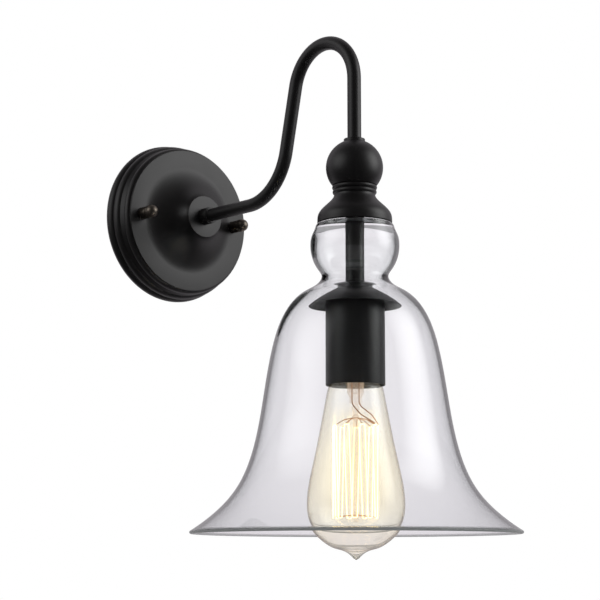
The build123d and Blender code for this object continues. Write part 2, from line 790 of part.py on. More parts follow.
# Lampholder: a screwed cap on the nipple, and the body that hangs from it
holder_top_level = cup_roof_level - nut_thickness - touch_gap
holder_cap_level = holder_top_level - holder_cap_boss_height
holder_skirt_level = holder_top_level - holder_cap_height
with BuildPart() as lampholder_cap:
    with BuildSketch(stack):
        with BuildLine():
            Polyline(
                (nipple_radius + thread_clearance, holder_top_level),
                (holder_cap_boss_radius, holder_top_level),
                (holder_cap_boss_radius, holder_cap_level),
                (holder_radius, holder_cap_level),
                (holder_radius, holder_skirt_level),
                (holder_radius - holder_cap_wall, holder_skirt_level),
                (holder_radius - holder_cap_wall, holder_cap_level - holder_cap_roof),
                (nipple_radius + thread_clearance, holder_cap_level - holder_cap_roof),
                close=True)
        make_face()
    revolve(axis=stack_axis)
finish(lampholder_cap, "lampholder_cap", rubber)
socket_nipple_base = holder_cap_level - holder_cap_roof

with BuildPart() as socket_nipple:
    with BuildSketch(level(socket_nipple_base)):
        Circle(nipple_radius)
        Circle(nipple_bore, mode=Mode.SUBTRACT)
    extrude(amount=tube_base_level + tube_thread_depth - socket_nipple_base)
finish(socket_nipple, "socket_nipple", steel)

# The bulb's base sets the depth of the lampholder's pocket
bulb_tip_level = cup_base_level - bulb_tip_below_cup
base_contact_level = bulb_tip_level + bulb_length
base_rim_level = base_contact_level - base_height
holder_mouth_level = base_rim_level + holder_mouth_rise
pocket_floor_level = base_contact_level + touch_gap + contact_thickness
shell_top_level = base_contact_level - contact_recess
terminal_level = socket_nipple_base - contact_recess
core_radius = holder_radius - holder_cap_wall - slip_clearance
terminal_screw_level = (terminal_level + pocket_floor_level) / 2
with BuildPart() as lampholder_body:
    with BuildSketch(stack):
        with BuildLine():
            Polyline(
                (0, terminal_level),
                (terminal_boss_radius, terminal_level),
                (terminal_boss_radius, holder_skirt_level + holder_cap_wall),
                (core_radius, holder_skirt_level + holder_cap_wall),
                (core_radius, holder_skirt_level),
                (holder_radius, holder_skirt_level),
                (holder_radius, holder_mouth_level),
                (screw_shell_radius + screw_shell_wall + slip_clearance, holder_mouth_level),
                (screw_shell_radius + screw_shell_wall + slip_clearance, shell_top_level),
                (screw_shell_flange_radius, shell_top_level),
                (screw_shell_flange_radius, pocket_floor_level),
                (0, pocket_floor_level),
                close=True)
        make_face()
    revolve(axis=stack_axis)
    with BuildSketch(level(terminal_level)):
        with GridLocations(wire_spacing, 0, 2, 1):
            Circle(wire_radius + slip_clearance)
    extrude(amount=terminal_screw_level - terminal_level - 2 * terminal_screw_radius,
            mode=Mode.SUBTRACT)
    with BuildSketch(Plane(origin=(0, -shade_axis_reach, terminal_screw_level),
                           z_dir=(1, 0, 0))):
        Circle(terminal_screw_radius + slip_clearance)
    extrude(amount=holder_radius, both=True, mode=Mode.SUBTRACT)
    for side in (-1, 1):
        with BuildSketch(Plane(
                origin=(side * terminal_boss_radius, -shade_axis_reach, terminal_screw_level),
                z_dir=(side, 0, 0))):
            Circle(terminal_screw_head_radius + slip_clearance)
        extrude(amount=holder_radius, mode=Mode.SUBTRACT)
finish(lampholder_body, "lampholder_body", rubber)

# Screw shell, centre contact and terminal screws of the lampholder
with BuildPart() as screw_shell:
    with BuildSketch(level(holder_mouth_level)):
        Circle(screw_shell_radius + screw_shell_wall)
        Circle(screw_shell_radius, mode=Mode.SUBTRACT)
    extrude(amount=shell_top_level - holder_mouth_level)
    with BuildSketch(level(shell_top_level)):
        Circle(screw_shell_radius + screw_shell_wall)
        Circle(screw_shell_flange_radius, mode=Mode.SUBTRACT)
    extrude(amount=-screw_shell_wall)
finish(screw_shell, "screw_shell", brass)

with BuildPart() as centre_contact:
    with BuildSketch(level(pocket_floor_level)):
        Circle(contact_radius)
    extrude(amount=-contact_thickness)
finish(centre_contact, "centre_contact", brass)

with BuildPart() as terminal_screws:
    for side in (-1, 1):
        with BuildSketch(Plane(
                origin=(side * (wire_spacing / 2 + wire_radius + slip_clearance),
                        -shade_axis_reach, terminal_screw_level),
                z_dir=(side, 0, 0))):
            Circle(terminal_screw_radius)
        extrude(amount=terminal_boss_radius - wire_spacing / 2 - wire_radius - slip_clearance)
        with BuildSketch(Plane(
                origin=(side * terminal_boss_radius, -shade_axis_reach, terminal_screw_level),
                z_dir=(side, 0, 0))):
            Circle(terminal_screw_head_radius)
        extrude(amount=terminal_screw_head_height)
finish(terminal_screws, "terminal_screws", brass)

# Leads: from the lampholder's terminals up the stack, round the arm and down to the block
lead_foot_level = terminal_screw_level - 2 * terminal_screw_radius
for wire_name, wire_side, wire_colour in (
        ("live_wire", -1, (0.15, 0.1, 0.08)), ("neutral_wire", 1, (0.85, 0.85, 0.82))):
    wire_offset = wire_side * wire_spacing / 2
    lead_run = arm_route(wire_offset, lead_foot_level, tail_place - wire_bend_radius)
    with BuildLine(Plane.YZ.offset(wire_offset)) as tail:
        bend = JernArc((tail_place - wire_bend_radius, 0), (1, 0), wire_bend_radius, -90)
        Line(bend @ 1, (tail_place, tail_end_level))
    with BuildPart() as wire:
        with BuildSketch(Plane(origin=(wire_offset, -shade_axis_reach, lead_foot_level))):
            Circle(wire_radius)
        sweep(path=Wire(lead_run.edges() + tail.line.edges()))
    finish(wire, wire_name, wire_colour)

# Bulb: blown envelope on a screw base, with its glass stem and caged filament
bulb_body_length = base_rim_level - bulb_tip_level
sleeve_radius = base_radius - base_wall - slip_clearance / 2
bulb_outer = [(sleeve_radius, base_rim_level)] + [
    (across * bulb_radius, base_rim_level - down * bulb_body_length)
    for across, down in bulb_outline_shares]
bulb_tip = [
    (across * bulb_radius, base_rim_level - down * bulb_body_length)
    for across, down in bulb_tip_shares]
bulb_inner = inset(bulb_outer, [bulb_wall] * len(bulb_outer))
collar_top_level = base_rim_level + bulb_sleeve_height
with BuildPart() as bulb_envelope:
    with BuildSketch(stack):
        with BuildLine():
            sleeve = Line((sleeve_radius, collar_top_level), bulb_outer[0])
            flank = Spline(*bulb_outer, *bulb_tip[:-1])
            nib = Line(flank @ 1, bulb_tip[-1])
            hollow_foot = Line(nib @ 1, (0, bulb_inner[-1][1]))
            hollow = Spline(hollow_foot @ 1, *reversed(bulb_inner[1:]),
                            (sleeve_radius - bulb_wall, base_rim_level))
            Polyline(
                hollow @ 1,
                (sleeve_radius - bulb_wall, collar_top_level),
                sleeve @ 0)
        make_face()
    revolve(axis=stack_axis)
finish(bulb_envelope, "bulb_envelope", clear)

# Screw base: a thin shell with rolled rings, a glass insulator and the solder contact
shell_height = base_height - base_insulator_height - base_contact_height
ring_pitch = (shell_height - base_plain_height) / base_ring_count
shell_inner_radius = base_root_radius - base_wall
insulator_level = base_rim_level + shell_height
with BuildPart() as bulb_base_shell:
    with BuildSketch(stack):
        with BuildLine():
            skirt = Polyline(
                (base_radius - base_wall, collar_top_level),
                (base_radius - base_wall, base_rim_level),
                (base_radius, base_rim_level),
                (base_radius, base_rim_level + base_plain_height - base_wall),
                (base_root_radius, base_rim_level + base_plain_height))
            corner = skirt @ 1
            for ring in range(base_ring_count):
                ring_base = base_rim_level + base_plain_height + ring * ring_pitch
                roll = ThreePointArc(
                    corner, (base_radius, ring_base + ring_pitch / 2),
                    (base_root_radius, ring_base + ring_pitch))
                corner = roll @ 1
            Polyline(
                corner,
                (shell_inner_radius - base_wall, insulator_level),
                (shell_inner_radius - base_wall, insulator_level - base_wall),
                (shell_inner_radius, insulator_level - base_wall),
                (shell_inner_radius, collar_top_level + base_wall),
                skirt @ 0)
        make_face()
    revolve(axis=stack_axis)
finish(bulb_base_shell, "bulb_base_shell", brass)

contact_seat_level = insulator_level + base_insulator_height
with BuildPart() as bulb_base_insulator:
    with BuildSketch(stack):
        with BuildLine():
            Polyline(
                (0, insulator_level),
                (shell_inner_radius, insulator_level),
                (base_contact_radius + base_wall, contact_seat_level),
                (0, contact_seat_level),
                close=True)
        make_face()
    revolve(axis=stack_axis)
finish(bulb_base_insulator, "bulb_base_insulator", rubber)

with BuildPart() as bulb_base_contact:
    with BuildSketch(stack):
        with BuildLine():
            dome = ThreePointArc(
                (0, base_contact_level),
                (base_contact_radius / 2,
                 contact_seat_level + base_contact_height * base_contact_dome_share),
                (base_contact_radius, contact_seat_level))
            Polyline(dome @ 1, (0, contact_seat_level), dome @ 0)
        make_face()
    revolve(axis=stack_axis)
finish(bulb_base_contact, "bulb_base_contact", steel)

# Stem: a flared tube, closed and pinched at its lower end round the leads
stem_flare_radius = sleeve_radius - bulb_wall - slip_clearance
stem_top_level = base_rim_level + base_plain_height / 2
stem_base_level = stem_top_level - stem_length
stem_foot_level = stem_base_level - stem_pinch_height
with BuildPart() as bulb_stem:
    with BuildSketch(stack):
        with BuildLine():
            mouth = Line((stem_flare_radius - stem_wall, stem_top_level),
                         (stem_flare_radius, stem_top_level))
            flare_out = Spline(
                mouth @ 1, (stem_radius, stem_top_level - stem_flare_height),
                tangents=((-1, -1), (0, -1)))
            shank = Line(flare_out @ 1, (stem_radius, stem_base_level + stem_radius / 2))
            bottom = ThreePointArc(
                shank @ 1,
                (stem_radius * stem_foot_shares[0],
                 stem_base_level + stem_radius * stem_foot_shares[1]),
                (stem_radius / 2, stem_base_level))
            Polyline(
                bottom @ 1, (0, stem_base_level), (0, stem_base_level + stem_wall),
                (stem_radius / 2, stem_base_level + stem_wall),
                (stem_radius - stem_wall, stem_base_level + stem_radius / 2 + stem_wall),
                (stem_radius - stem_wall, stem_top_level - stem_flare_height))
            Spline(
                (stem_radius - stem_wall, stem_top_level - stem_flare_height), mouth @ 0,
                tangents=((0, 1), (1, 1)))
        make_face()
    revolve(axis=stack_axis)
    with BuildSketch(level(stem_foot_level)):
        RectangleRounded(stem_pinch_width, stem_pinch_thickness,
                         stem_pinch_thickness * stem_pinch_corner_share)
    extrude(amount=stem_pinch_height + stem_wall / 2)
    with BuildSketch(level(stem_foot_level)):
        with GridLocations(2 * lead_spread, 0, 2, 1):
            Circle(lead_radius + thread_clearance)
    extrude(amount=stem_pinch_height + stem_radius + stem_wall, mode=Mode.SUBTRACT)
finish(bulb_stem, "bulb_stem", clear)

# Centre rod of the cage, with the bead it hangs from
cage_top_level = base_rim_level - cage_top_drop
cage_base_level = cage_top_level - cage_height
bead_level = stem_foot_level - rod_bead_gap - rod_bead_radius
with BuildPart() as filament_rod:
    with BuildSketch(level(cage_base_level - rod_overhang)):
        Circle(rod_radius)
    extrude(amount=stem_foot_level - cage_base_level + rod_overhang)
    with Locations((0, -shade_axis_reach, bead_level)):
        Sphere(rod_bead_radius)
finish(filament_rod, "filament_rod", clear)

# Supports: two spiders of fine wire, each in a bead on the rod
hook_reach = cage_radius - filament_radius - slip_clearance
hook_step = 360 / support_count
for spider_name, spider_bead, hook_level, first_hook, hook_count in (
        ("upper_supports", cage_top_level + support_rise, cage_top_level,
         first_hook_angle, support_count),
        ("lower_supports", cage_base_level + support_rise / 3, cage_base_level,
         first_hook_angle + hook_step / 2, support_count - 1)):
    with BuildPart() as spider:
        with Locations((0, -shade_axis_reach, spider_bead)):
            Sphere(support_bead_radius)
        for hook in range(hook_count):
            turn = math.radians(first_hook + hook * hook_step)
            wire_end = Vector(hook_reach * math.cos(turn), hook_reach * math.sin(turn),
                              hook_level - spider_bead)
            with BuildSketch(Plane(origin=(0, -shade_axis_reach, spider_bead), z_dir=wire_end)):
                Circle(support_radius)
            extrude(amount=wire_end.length)
        with BuildSketch(level(spider_bead - cage_height / 2)):
            Circle(rod_radius + thread_clearance)
        extrude(amount=cage_height, mode=Mode.SUBTRACT)
    finish(spider, spider_name, steel)

# Filament: one wire that zigzags between the upper and the lower hooks
zigzag = []
for hook in range(2 * support_count - 1):
    turn = math.radians(first_hook_angle + hook * hook_step / 2)
    zigzag.append((
        cage_radius * math.cos(turn), cage_radius * math.sin(turn) - shade_axis_reach,
        cage_base_level if hook % 2 else cage_top_level))
with BuildPart() as filament:
    with BuildLine() as strands:
        Polyline(*zigzag)
    with BuildSketch(Plane(origin=strands.line @ 0, z_dir=strands.line % 0)):
        Circle(filament_radius)
    sweep(path=strands.line, transition=Transition.ROUND)
finish(filament, "filament", (1.0, 0.75, 0.35))

# Leads inside the bulb: straight up through the stem to the base, and out to the filament's ends
lead_bend_level = stem_foot_level - lead_radius
lead_end_level = cage_top_level + filament_radius + lead_radius + touch_gap
with BuildPart() as lead_wires:
    for side, end in ((1, zigzag[0]), (-1, zigzag[-1])):
        with BuildLine() as lead:
            Polyline(
                (side * lead_spread, -shade_axis_reach, insulator_level),
                (side * lead_spread, -shade_axis_reach, lead_bend_level),
                (end[0] / 2 + side * lead_bow / 2, -shade_axis_reach - lead_bow,
                 (lead_bend_level + lead_end_level) / 2),
                (end[0], end[1], lead_end_level))
        with BuildSketch(Plane(
                origin=(side * lead_spread, -shade_axis_reach, insulator_level),
                z_dir=(0, 0, -1))):
            Circle(lead_radius)
        sweep(path=lead.line, transition=Transition.ROUND)
finish(lead_wires, "lead_wires", brass)
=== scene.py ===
"""Looks of a wall sconce: black gooseneck arm, turned ball and cap, clear glass bell and a bulb
with a caged filament."""

import math

import bmesh
import bpy
import numpy as np
from bpy.props import FloatProperty, FloatVectorProperty, IntProperty, PointerProperty
from bpy.types import Operator, Panel, PropertyGroup
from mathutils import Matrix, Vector


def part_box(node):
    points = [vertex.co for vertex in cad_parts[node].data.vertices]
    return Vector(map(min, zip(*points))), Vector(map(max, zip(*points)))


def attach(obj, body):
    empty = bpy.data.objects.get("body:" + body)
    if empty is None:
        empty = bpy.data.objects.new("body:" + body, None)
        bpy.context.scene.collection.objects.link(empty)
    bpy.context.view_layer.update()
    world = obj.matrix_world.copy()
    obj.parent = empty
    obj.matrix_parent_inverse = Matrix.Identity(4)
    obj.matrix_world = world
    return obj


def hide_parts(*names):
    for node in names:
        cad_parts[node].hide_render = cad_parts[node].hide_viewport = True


bl_info = {
    "name": "Gooseneck wall sconce",
    "version": (1, 0, 0),
    "blender": (4, 5, 0),
    "location": "3D View > Sidebar > Sconce",
    "description": "Dresses the packed frame of a gooseneck wall sconce",
    "category": "Object",
}

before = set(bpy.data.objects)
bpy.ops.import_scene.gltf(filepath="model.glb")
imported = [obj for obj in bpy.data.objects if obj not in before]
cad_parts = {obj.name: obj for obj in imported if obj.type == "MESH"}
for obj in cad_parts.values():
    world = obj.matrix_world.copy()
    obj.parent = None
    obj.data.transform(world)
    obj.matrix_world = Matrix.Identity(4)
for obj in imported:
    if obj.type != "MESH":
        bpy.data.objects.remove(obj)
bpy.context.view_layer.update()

MM = 0.001


# Places taken from the frame

def across(node):
    """Radius of a round node about the shade's axis, or of one about the plate's axis."""
    low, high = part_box(node)
    return (high.x - low.x) / 2


def base(node):
    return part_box(node)[0].z


def top(node):
    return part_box(node)[1].z


def wall_side(node):
    """Distance of a node's back from the wall."""
    return -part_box(node)[1].y


def room_side(node):
    """Distance of a node's front from the wall."""
    return -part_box(node)[0].y


def span(node):
    """Base, top and radius of a round node."""
    return base(node), top(node), across(node)


def clearing(node):
    """Radius of a bore that clears a threaded node."""
    return across(node) + 0.1 * MM


REACH = -(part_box("down_tube")[0].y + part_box("down_tube")[1].y) / 2


# Sizes and colours

def length(name, description, default, low=0.0, high=1.0):
    return FloatProperty(name=name, description=description, default=default, min=low, max=high,
                         subtype="DISTANCE", unit="LENGTH", precision=5)


def colour(name, description, default):
    return FloatVectorProperty(name=name, description=description, default=default, size=3,
                               min=0.0, max=1.0, subtype="COLOR")


class SconcePlate(PropertyGroup):
    """Backplate, hub and cap nuts"""
    depth: length("Depth", "Depth of the backplate's flat front ring", 24.25 * MM)
    wall: length("Wall", "Wall of the backplate", 1.5 * MM)
    ring_inner: length("Ring", "Inner radius of the flat front ring", 41.0 * MM)
    rim: length("Rim", "Radius of the front rim", 53.9 * MM)
    ease: length("Edge", "Radius that eases the turned edges", 0.5 * MM)
    stud_hole: length("Stud hole", "Radius of the holes for the studs", 2.3 * MM)


class SconceArm(PropertyGroup):
    """Gooseneck arm"""
    radius: length("Radius", "Outer radius of the arm", 4.75 * MM)
    top: length("Top", "Height of the bend's centreline above the run", 102.7 * MM)
    top_bend: length("Top bend", "Radius of the top bend", 31.45 * MM)
    lower_bend: length("Lower bend", "Radius of the lower bend", 42.5 * MM)
    lean: FloatProperty(name="Lean", description="Lean of the leg from upright",
                        default=math.radians(13.1), subtype="ANGLE", unit="ROTATION")


class SconceShade(PropertyGroup):
    """Glass shade"""
    globe: length("Globe", "Outer radius of the globe", 30.1 * MM)
    neck: length("Neck", "Outer radius of the neck", 22.5 * MM)
    globe_drop: length("Globe drop", "From the cap's rim to the neck", 36.5 * MM)
    bell_drop: length("Bell drop", "From the neck to the rim", 170.3 * MM)
    globe_wall: length("Globe wall", "Wall of the globe", 3.1 * MM)
    neck_wall: length("Neck wall", "Wall of the neck", 3.2 * MM)
    bell_wall: length("Bell wall", "Wall of the bell", 2.4 * MM)
    rim_wall: length("Rim wall", "Wall at the rim", 2.2 * MM)
    rim_bulge: length("Rim bulge", "How far the rounded rim stands out", 0.33 * MM)
    roof: length("Roof", "Thickness of the clamped top", 4.6 * MM)
    collar: length("Collar", "Radius of the glass inside the cap", 23.6 * MM)
    collar_fillet: length("Collar fillet", "Rounding of the top edge", 4.5 * MM)
    clamp_flat: length("Clamp flat", "Radius of the flat under the roof", 13.2 * MM)
    hole: length("Hole", "Radius of the hole in the roof", 5.6 * MM)
    tint: colour("Tint", "Colour that the glass takes in its depth", (0.55, 0.85, 0.75))


class SconceBulb(PropertyGroup):
    """Bulb"""
    radius: length("Radius", "Largest radius of the envelope", 32.5 * MM)
    sleeve: length("Sleeve", "Outer radius of the glass inside the base", 12.7 * MM)
    wall: length("Wall", "Wall of the envelope", 0.8 * MM)
    pitch: length("Pitch", "Thread pitch of the screw base", 3.63 * MM)
    cage: length("Cage", "Radius of the filament's cage", 15.3 * MM)
    cage_drop: length("Cage drop", "From the base's rim to the upper hooks", 32.9 * MM)
    cage_height: length("Cage height", "Between upper and lower hooks", 62.9 * MM)
    strand: length("Strand", "Radius of the filament", 0.42 * MM)
    hooks: IntProperty(name="Hooks", description="Upper hooks of the cage", default=9, min=3,
                       max=24)
    tint: colour("Tint", "Colour of the envelope", (0.92, 0.90, 0.30))
    glow: colour("Glow", "Colour of the lit filament", (1.0, 0.80, 0.44))
    # painted glow on the envelope round the filament
    veil: colour("Veil", "Light on the envelope round the filament", (0.034, 0.022, 0.006))
    power: FloatProperty(name="Power", description="Strength of the lit filament", default=2.8,
                         min=0.0)


class SconceFinish(PropertyGroup):
    """Colours of the metal and plastic"""
    paint: colour("Paint", "Satin black paint", (0.0032, 0.003, 0.0029))
    nut: colour("Cap nuts", "Dark burnished metal", (0.24, 0.21, 0.175))
    zinc: colour("Zinc", "Plated hardware", (0.55, 0.56, 0.58))
    brass: colour("Brass", "Contacts and screw shell", (0.76, 0.57, 0.26))
    nickel: colour("Nickel", "The bulb's base", (0.72, 0.68, 0.60))
    copper: colour("Copper", "Wires inside the bulb", (0.60, 0.32, 0.18))
    ground: colour("Ground", "Ground screw", (0.10, 0.32, 0.14))


class SconceStage(PropertyGroup):
    """Floor, light and camera"""
    floor: length("Floor", "Floor below the lamp", 0.45, 0.0, 5.0)
    lens: FloatProperty(name="Lens", description="Focal length for a 36 mm sensor", default=108.0)
    world: FloatProperty(name="World", description="Strength of the surrounding light",
                         default=0.42)
    room: FloatProperty(name="Room", description="Strength of the room that gloss shows",
                        default=0.03)
    sweep: FloatProperty(name="Sweep", description="Strength of the sweep that gloss shows",
                         default=0.5)
    passed: FloatProperty(name="Passed", description="Strength seen through glass", default=0.80)
    inner: FloatProperty(name="Inner", description="Strength seen after mirroring inside glass",
                         default=0.3)
    deep: FloatProperty(name="Deep", description="Strength seen after mirroring inside the bulb",
                        default=0.45)
    tone: colour("Tone", "Colour of the surrounding panels", (1.0, 0.945, 1.0))
    panels: IntProperty(name="Panels", description="White panels round the set", default=8, min=1)


# Clear glass for the light that it lets through, and its cream tint inside the lit bulb, painted
# warm light of the filament
CLEAR = (1.0, 1.0, 1.0)
CLEAR_IN_VEIL = (1.0, 0.965, 0.84)
GLASS_INDEX = 1.50
# height over which the painted grey line along the shade's rim fades out, and how much of it is
# mixed in
RIM_LINE_EDGE = 1.0 * MM
RIM_LINE_SHARE = 0.6


# Shader nodes written as expressions

class Socket:
    """Output socket of a shader node, with arithmetic."""

    def __init__(self, tree, out):
        self.tree = tree
        self.out = out

    def math(self, operation, *values):
        made = self.tree.nodes.new("ShaderNodeMath")
        made.operation = operation
        for place, value in zip(made.inputs, values):
            connect(self.tree, place, value)
        return Socket(self.tree, made.outputs[0])

    def __add__(self, other):
        return self.math("ADD", self, other)

    def __radd__(self, other):
        return self.math("ADD", other, self)

    def __sub__(self, other):
        return self.math("SUBTRACT", self, other)

    def __rsub__(self, other):
        return self.math("SUBTRACT", other, self)

    def __mul__(self, other):
        return self.math("MULTIPLY", self, other)

    def __truediv__(self, other):
        return self.math("DIVIDE", self, other)


def connect(tree, place, value):
    """Links a socket to an input, or sets the input's value."""
    if isinstance(value, Socket):
        tree.links.new(value.out, place)
    else:
        place.default_value = value


class Tree:
    """A node tree that grows node by node."""

    def __init__(self, tree):
        self.tree = tree

    def add(self, kind, settings=None, output=0, **sockets):
        """A node of any type: its settings first, then its sockets by name, with _ for a space."""
        made = self.tree.nodes.new(kind)
        for key, value in (settings or {}).items():
            setattr(made, key, value)
        for key, value in sockets.items():
            wanted = key.replace("_", " ").lower()
            matching = [i for i in made.inputs if i.name.lower() == wanted and i.enabled]
            if not matching:
                raise ValueError(f"{kind} has no input {key}")
            connect(self.tree, matching[0], value)
        return Socket(self.tree, made.outputs[output]) if made.outputs else None


class Finish(Tree):
    """A material under construction."""

    def __init__(self, name):
        self.material = bpy.data.materials.new(name)
        self.material.use_nodes = True
        super().__init__(self.material.node_tree)
        self.tree.nodes.clear()

    def noise(self, scale, detail=3.0, stretch=(1.0, 1.0, 1.0)):
        """Noise that hangs on the piece, stretched along its axes."""
        place = self.add("ShaderNodeMapping", Scale=stretch,
                         Vector=self.add("ShaderNodeTexCoord", output="Object"))
        return self.add("ShaderNodeTexNoise", Vector=place, Scale=scale, Detail=detail,
                        Roughness=0.55)

    def bump(self, height, strength, distance):
        return self.add("ShaderNodeBump", Height=height, Strength=strength, Distance=distance)

    def surface(self, **sockets):
        """Ends the material with one principled surface."""
        self.finish(self.add("ShaderNodeBsdfPrincipled", **sockets))

    def finish(self, shader, **volume):
        self.add("ShaderNodeOutputMaterial", Surface=shader, **volume)


def solid(tone):
    return (*tone, 1.0)


def mix_tones(made, factor, first, second):
    """A colour between two tones."""
    return made.add("ShaderNodeMix", {"data_type": "RGBA"}, output=2, Factor=factor,
                    A=first if isinstance(first, Socket) else solid(first), B=solid(second))


def shade_of(tone, share):
    return tuple(min(1.0, part * share) for part in tone)


def soft_step(made, value, start, end, low, high):
    """Goes smoothly from low to high while the value goes from start to end."""
    return made.add("ShaderNodeMapRange", {"interpolation_type": "SMOOTHSTEP"}, Value=value,
                    From_Min=start, From_Max=end, To_Min=low, To_Max=high)


def satin_paint(tone):
    """Powder coat: fine orange peel, faint dust and a soft sheen."""
    made = Finish("satin_black_paint")
    peel = made.noise(1500.0, detail=2.0)
    cloud = made.noise(28.0, detail=4.0)
    made.surface(
        Base_Color=mix_tones(made, cloud, shade_of(tone, 0.75), shade_of(tone, 1.3)),
        Roughness=0.38 + cloud * 0.08,
        Specular_IOR_Level=0.8,
        Normal=made.bump(peel, 0.08, 0.03 * MM))


def plated(name, tone, rough, grain=(1.0, 1.0, 1.0)):
    """Plated or bare metal with a fine grain and cloudy polish."""
    made = Finish(name)
    cloud = made.noise(60.0, detail=4.0)
    lines = made.noise(900.0, detail=2.0, stretch=grain)
    made.surface(
        Base_Color=mix_tones(made, cloud, shade_of(tone, 0.86), shade_of(tone, 1.08)),
        Metallic=1.0,
        Roughness=rough + cloud * 0.14,
        Normal=made.bump(lines, 0.2, 0.02 * MM))


def moulded(name, tone, rough):
    """Moulded plastic, fibre or insulation with a fine matt texture."""
    made = Finish(name)
    cloud = made.noise(90.0, detail=3.0)
    made.surface(
        Base_Color=mix_tones(made, cloud, shade_of(tone, 0.85), shade_of(tone, 1.1)),
        Roughness=rough + cloud * 0.15,
        Normal=made.bump(made.noise(1800.0), 0.2, 0.03 * MM))


def clear_glass(name, tone, density, wave, edge, outline, share, turn, veil=None, rim=None):
    """Clear glass: its tint comes from the path through it, and its faintly wavy wall gets painted
    shade where it turns away:
    the light it lets through takes a darker edge tone, and a painted dark outline is mixed in. A
    veil is a painted glow:
    the warm light of the lit bulb painted onto the glass round the filament, which also tints the
    light let through cream there. A rim is the level below which the edge gets the painted outline
    as a grey line."""
    made = Finish(name)
    ripple = made.noise(24.0, detail=1.5, stretch=(1.0, 1.0, 0.35))
    away = made.add("ShaderNodeLayerWeight", output="Facing", Blend=0.5)
    height = made.add("ShaderNodeSeparateXYZ", output="Z",
                      Vector=made.add("ShaderNodeTexCoord", output="Object"))
    clear, lit = CLEAR, {}
    if veil is not None:
        light, middle, half = veil
        # painted glow: warm light painted on the glass round the filament, and a cream tint of the
        # light let through there
        off = (height - middle) / half
        near = off.math("MAXIMUM", 1.0 - off * off, 0.0) * away.math("POWER", 1.0 - away, 3.0)
        lit = {"Emission_Color": mix_tones(made, near, (0.0, 0.0, 0.0), light),
               "Emission_Strength": 1.0}
        clear = mix_tones(made, near, CLEAR, CLEAR_IN_VEIL)
    glass = made.add(
        "ShaderNodeBsdfPrincipled",
        # painted shade: the light let through takes the edge tone where the wall turns away
        Base_Color=mix_tones(made, away * away, clear, edge),
        Roughness=0.0,
        IOR=GLASS_INDEX,
        Transmission_Weight=1.0,
        Normal=made.bump(ripple, wave, 0.2 * MM),
        **lit)
    # painted dark outline: a diffuse grey mixed in where the wall turns away
    line = made.add("ShaderNodeBsdfDiffuse", Color=solid(outline))
    painted_line_share = soft_step(made, away, *turn, 0.0, share)
    if rim is not None:
        # painted grey line along the rim
        ground = soft_step(made, height, rim, rim + RIM_LINE_EDGE, RIM_LINE_SHARE, 0.0)
        painted_line_share = ground.math("MAXIMUM", ground, painted_line_share)
    shader = made.add("ShaderNodeMixShader")
    for place, value in zip(shader.out.node.inputs, (painted_line_share, glass, line)):
        connect(made.tree, place, value)
    depth = made.add("ShaderNodeVolumeAbsorption", Color=solid(tone), Density=density)
    made.finish(shader, Volume=depth)


def thin_glass(name, tone, middle, edge):
    """Glass inside other glass: it lets the view straight through, and shows a pale warm tone,
    painted filament light, that glows faintly and grows where its wall turns away as a painted
    edge."""
    made = Finish(name)
    ripple = made.noise(60.0, detail=2.0)
    away = made.add("ShaderNodeLayerWeight", output="Facing", Blend=0.5)
    made.surface(
        Base_Color=mix_tones(made, ripple, shade_of(tone, 0.94), tone),
        Roughness=0.1,
        Alpha=middle + away * away * (edge - middle),
        # painted glow of the filament's light on the stem
        Emission_Color=solid(shade_of(tone, 1.1)),
        Emission_Strength=0.45)


def lit_filament(tone, power):
    """Glowing tungsten, its heat varying at random along each strand."""
    made = Finish("lit_filament")
    heat = made.noise(400.0, detail=1.0)
    made.surface(
        Base_Color=(0.9, 0.6, 0.3, 1.0),
        Roughness=0.5,
        Emission_Color=mix_tones(made, heat, shade_of(tone, 0.92), tone),
        Emission_Strength=power)


# Outlines, in (radius, height) points

def corners(points, steps=5):
    """Outline through points; a third number rounds that corner with an arc of that radius."""
    made = []
    count = len(points)
    for index, point in enumerate(points):
        radius = point[2] if len(point) > 2 else 0.0
        here = np.array(point[:2], float)
        if radius <= 0.0:
            made.append(tuple(here))
            continue
        back = np.array(points[(index - 1) % count][:2], float) - here
        ahead = np.array(points[(index + 1) % count][:2], float) - here
        back /= np.linalg.norm(back)
        ahead /= np.linalg.norm(ahead)
        half = math.acos(max(-1.0, min(1.0, float(back @ ahead)))) / 2
        reach = radius / math.tan(half)
        middle = here + (back + ahead) / np.linalg.norm(back + ahead) * radius / math.sin(half)
        first = here + back * reach - middle
        last = here + ahead * reach - middle
        turn = math.pi - 2 * half
        for step in range(steps + 1):
            share = step / steps
            point_on = (first * math.sin((1 - share) * turn) + last * math.sin(share * turn))
            made.append(tuple(middle + point_on / math.sin(turn)))
    return made


def arc(middle, radius, start, end, steps):
    """Points on a circle from one angle to another, in degrees."""
    turns = [math.radians(start + (end - start) * step / steps) for step in range(steps + 1)]
    return [(middle[0] + radius * math.cos(turn), middle[1] + radius * math.sin(turn))
            for turn in turns]


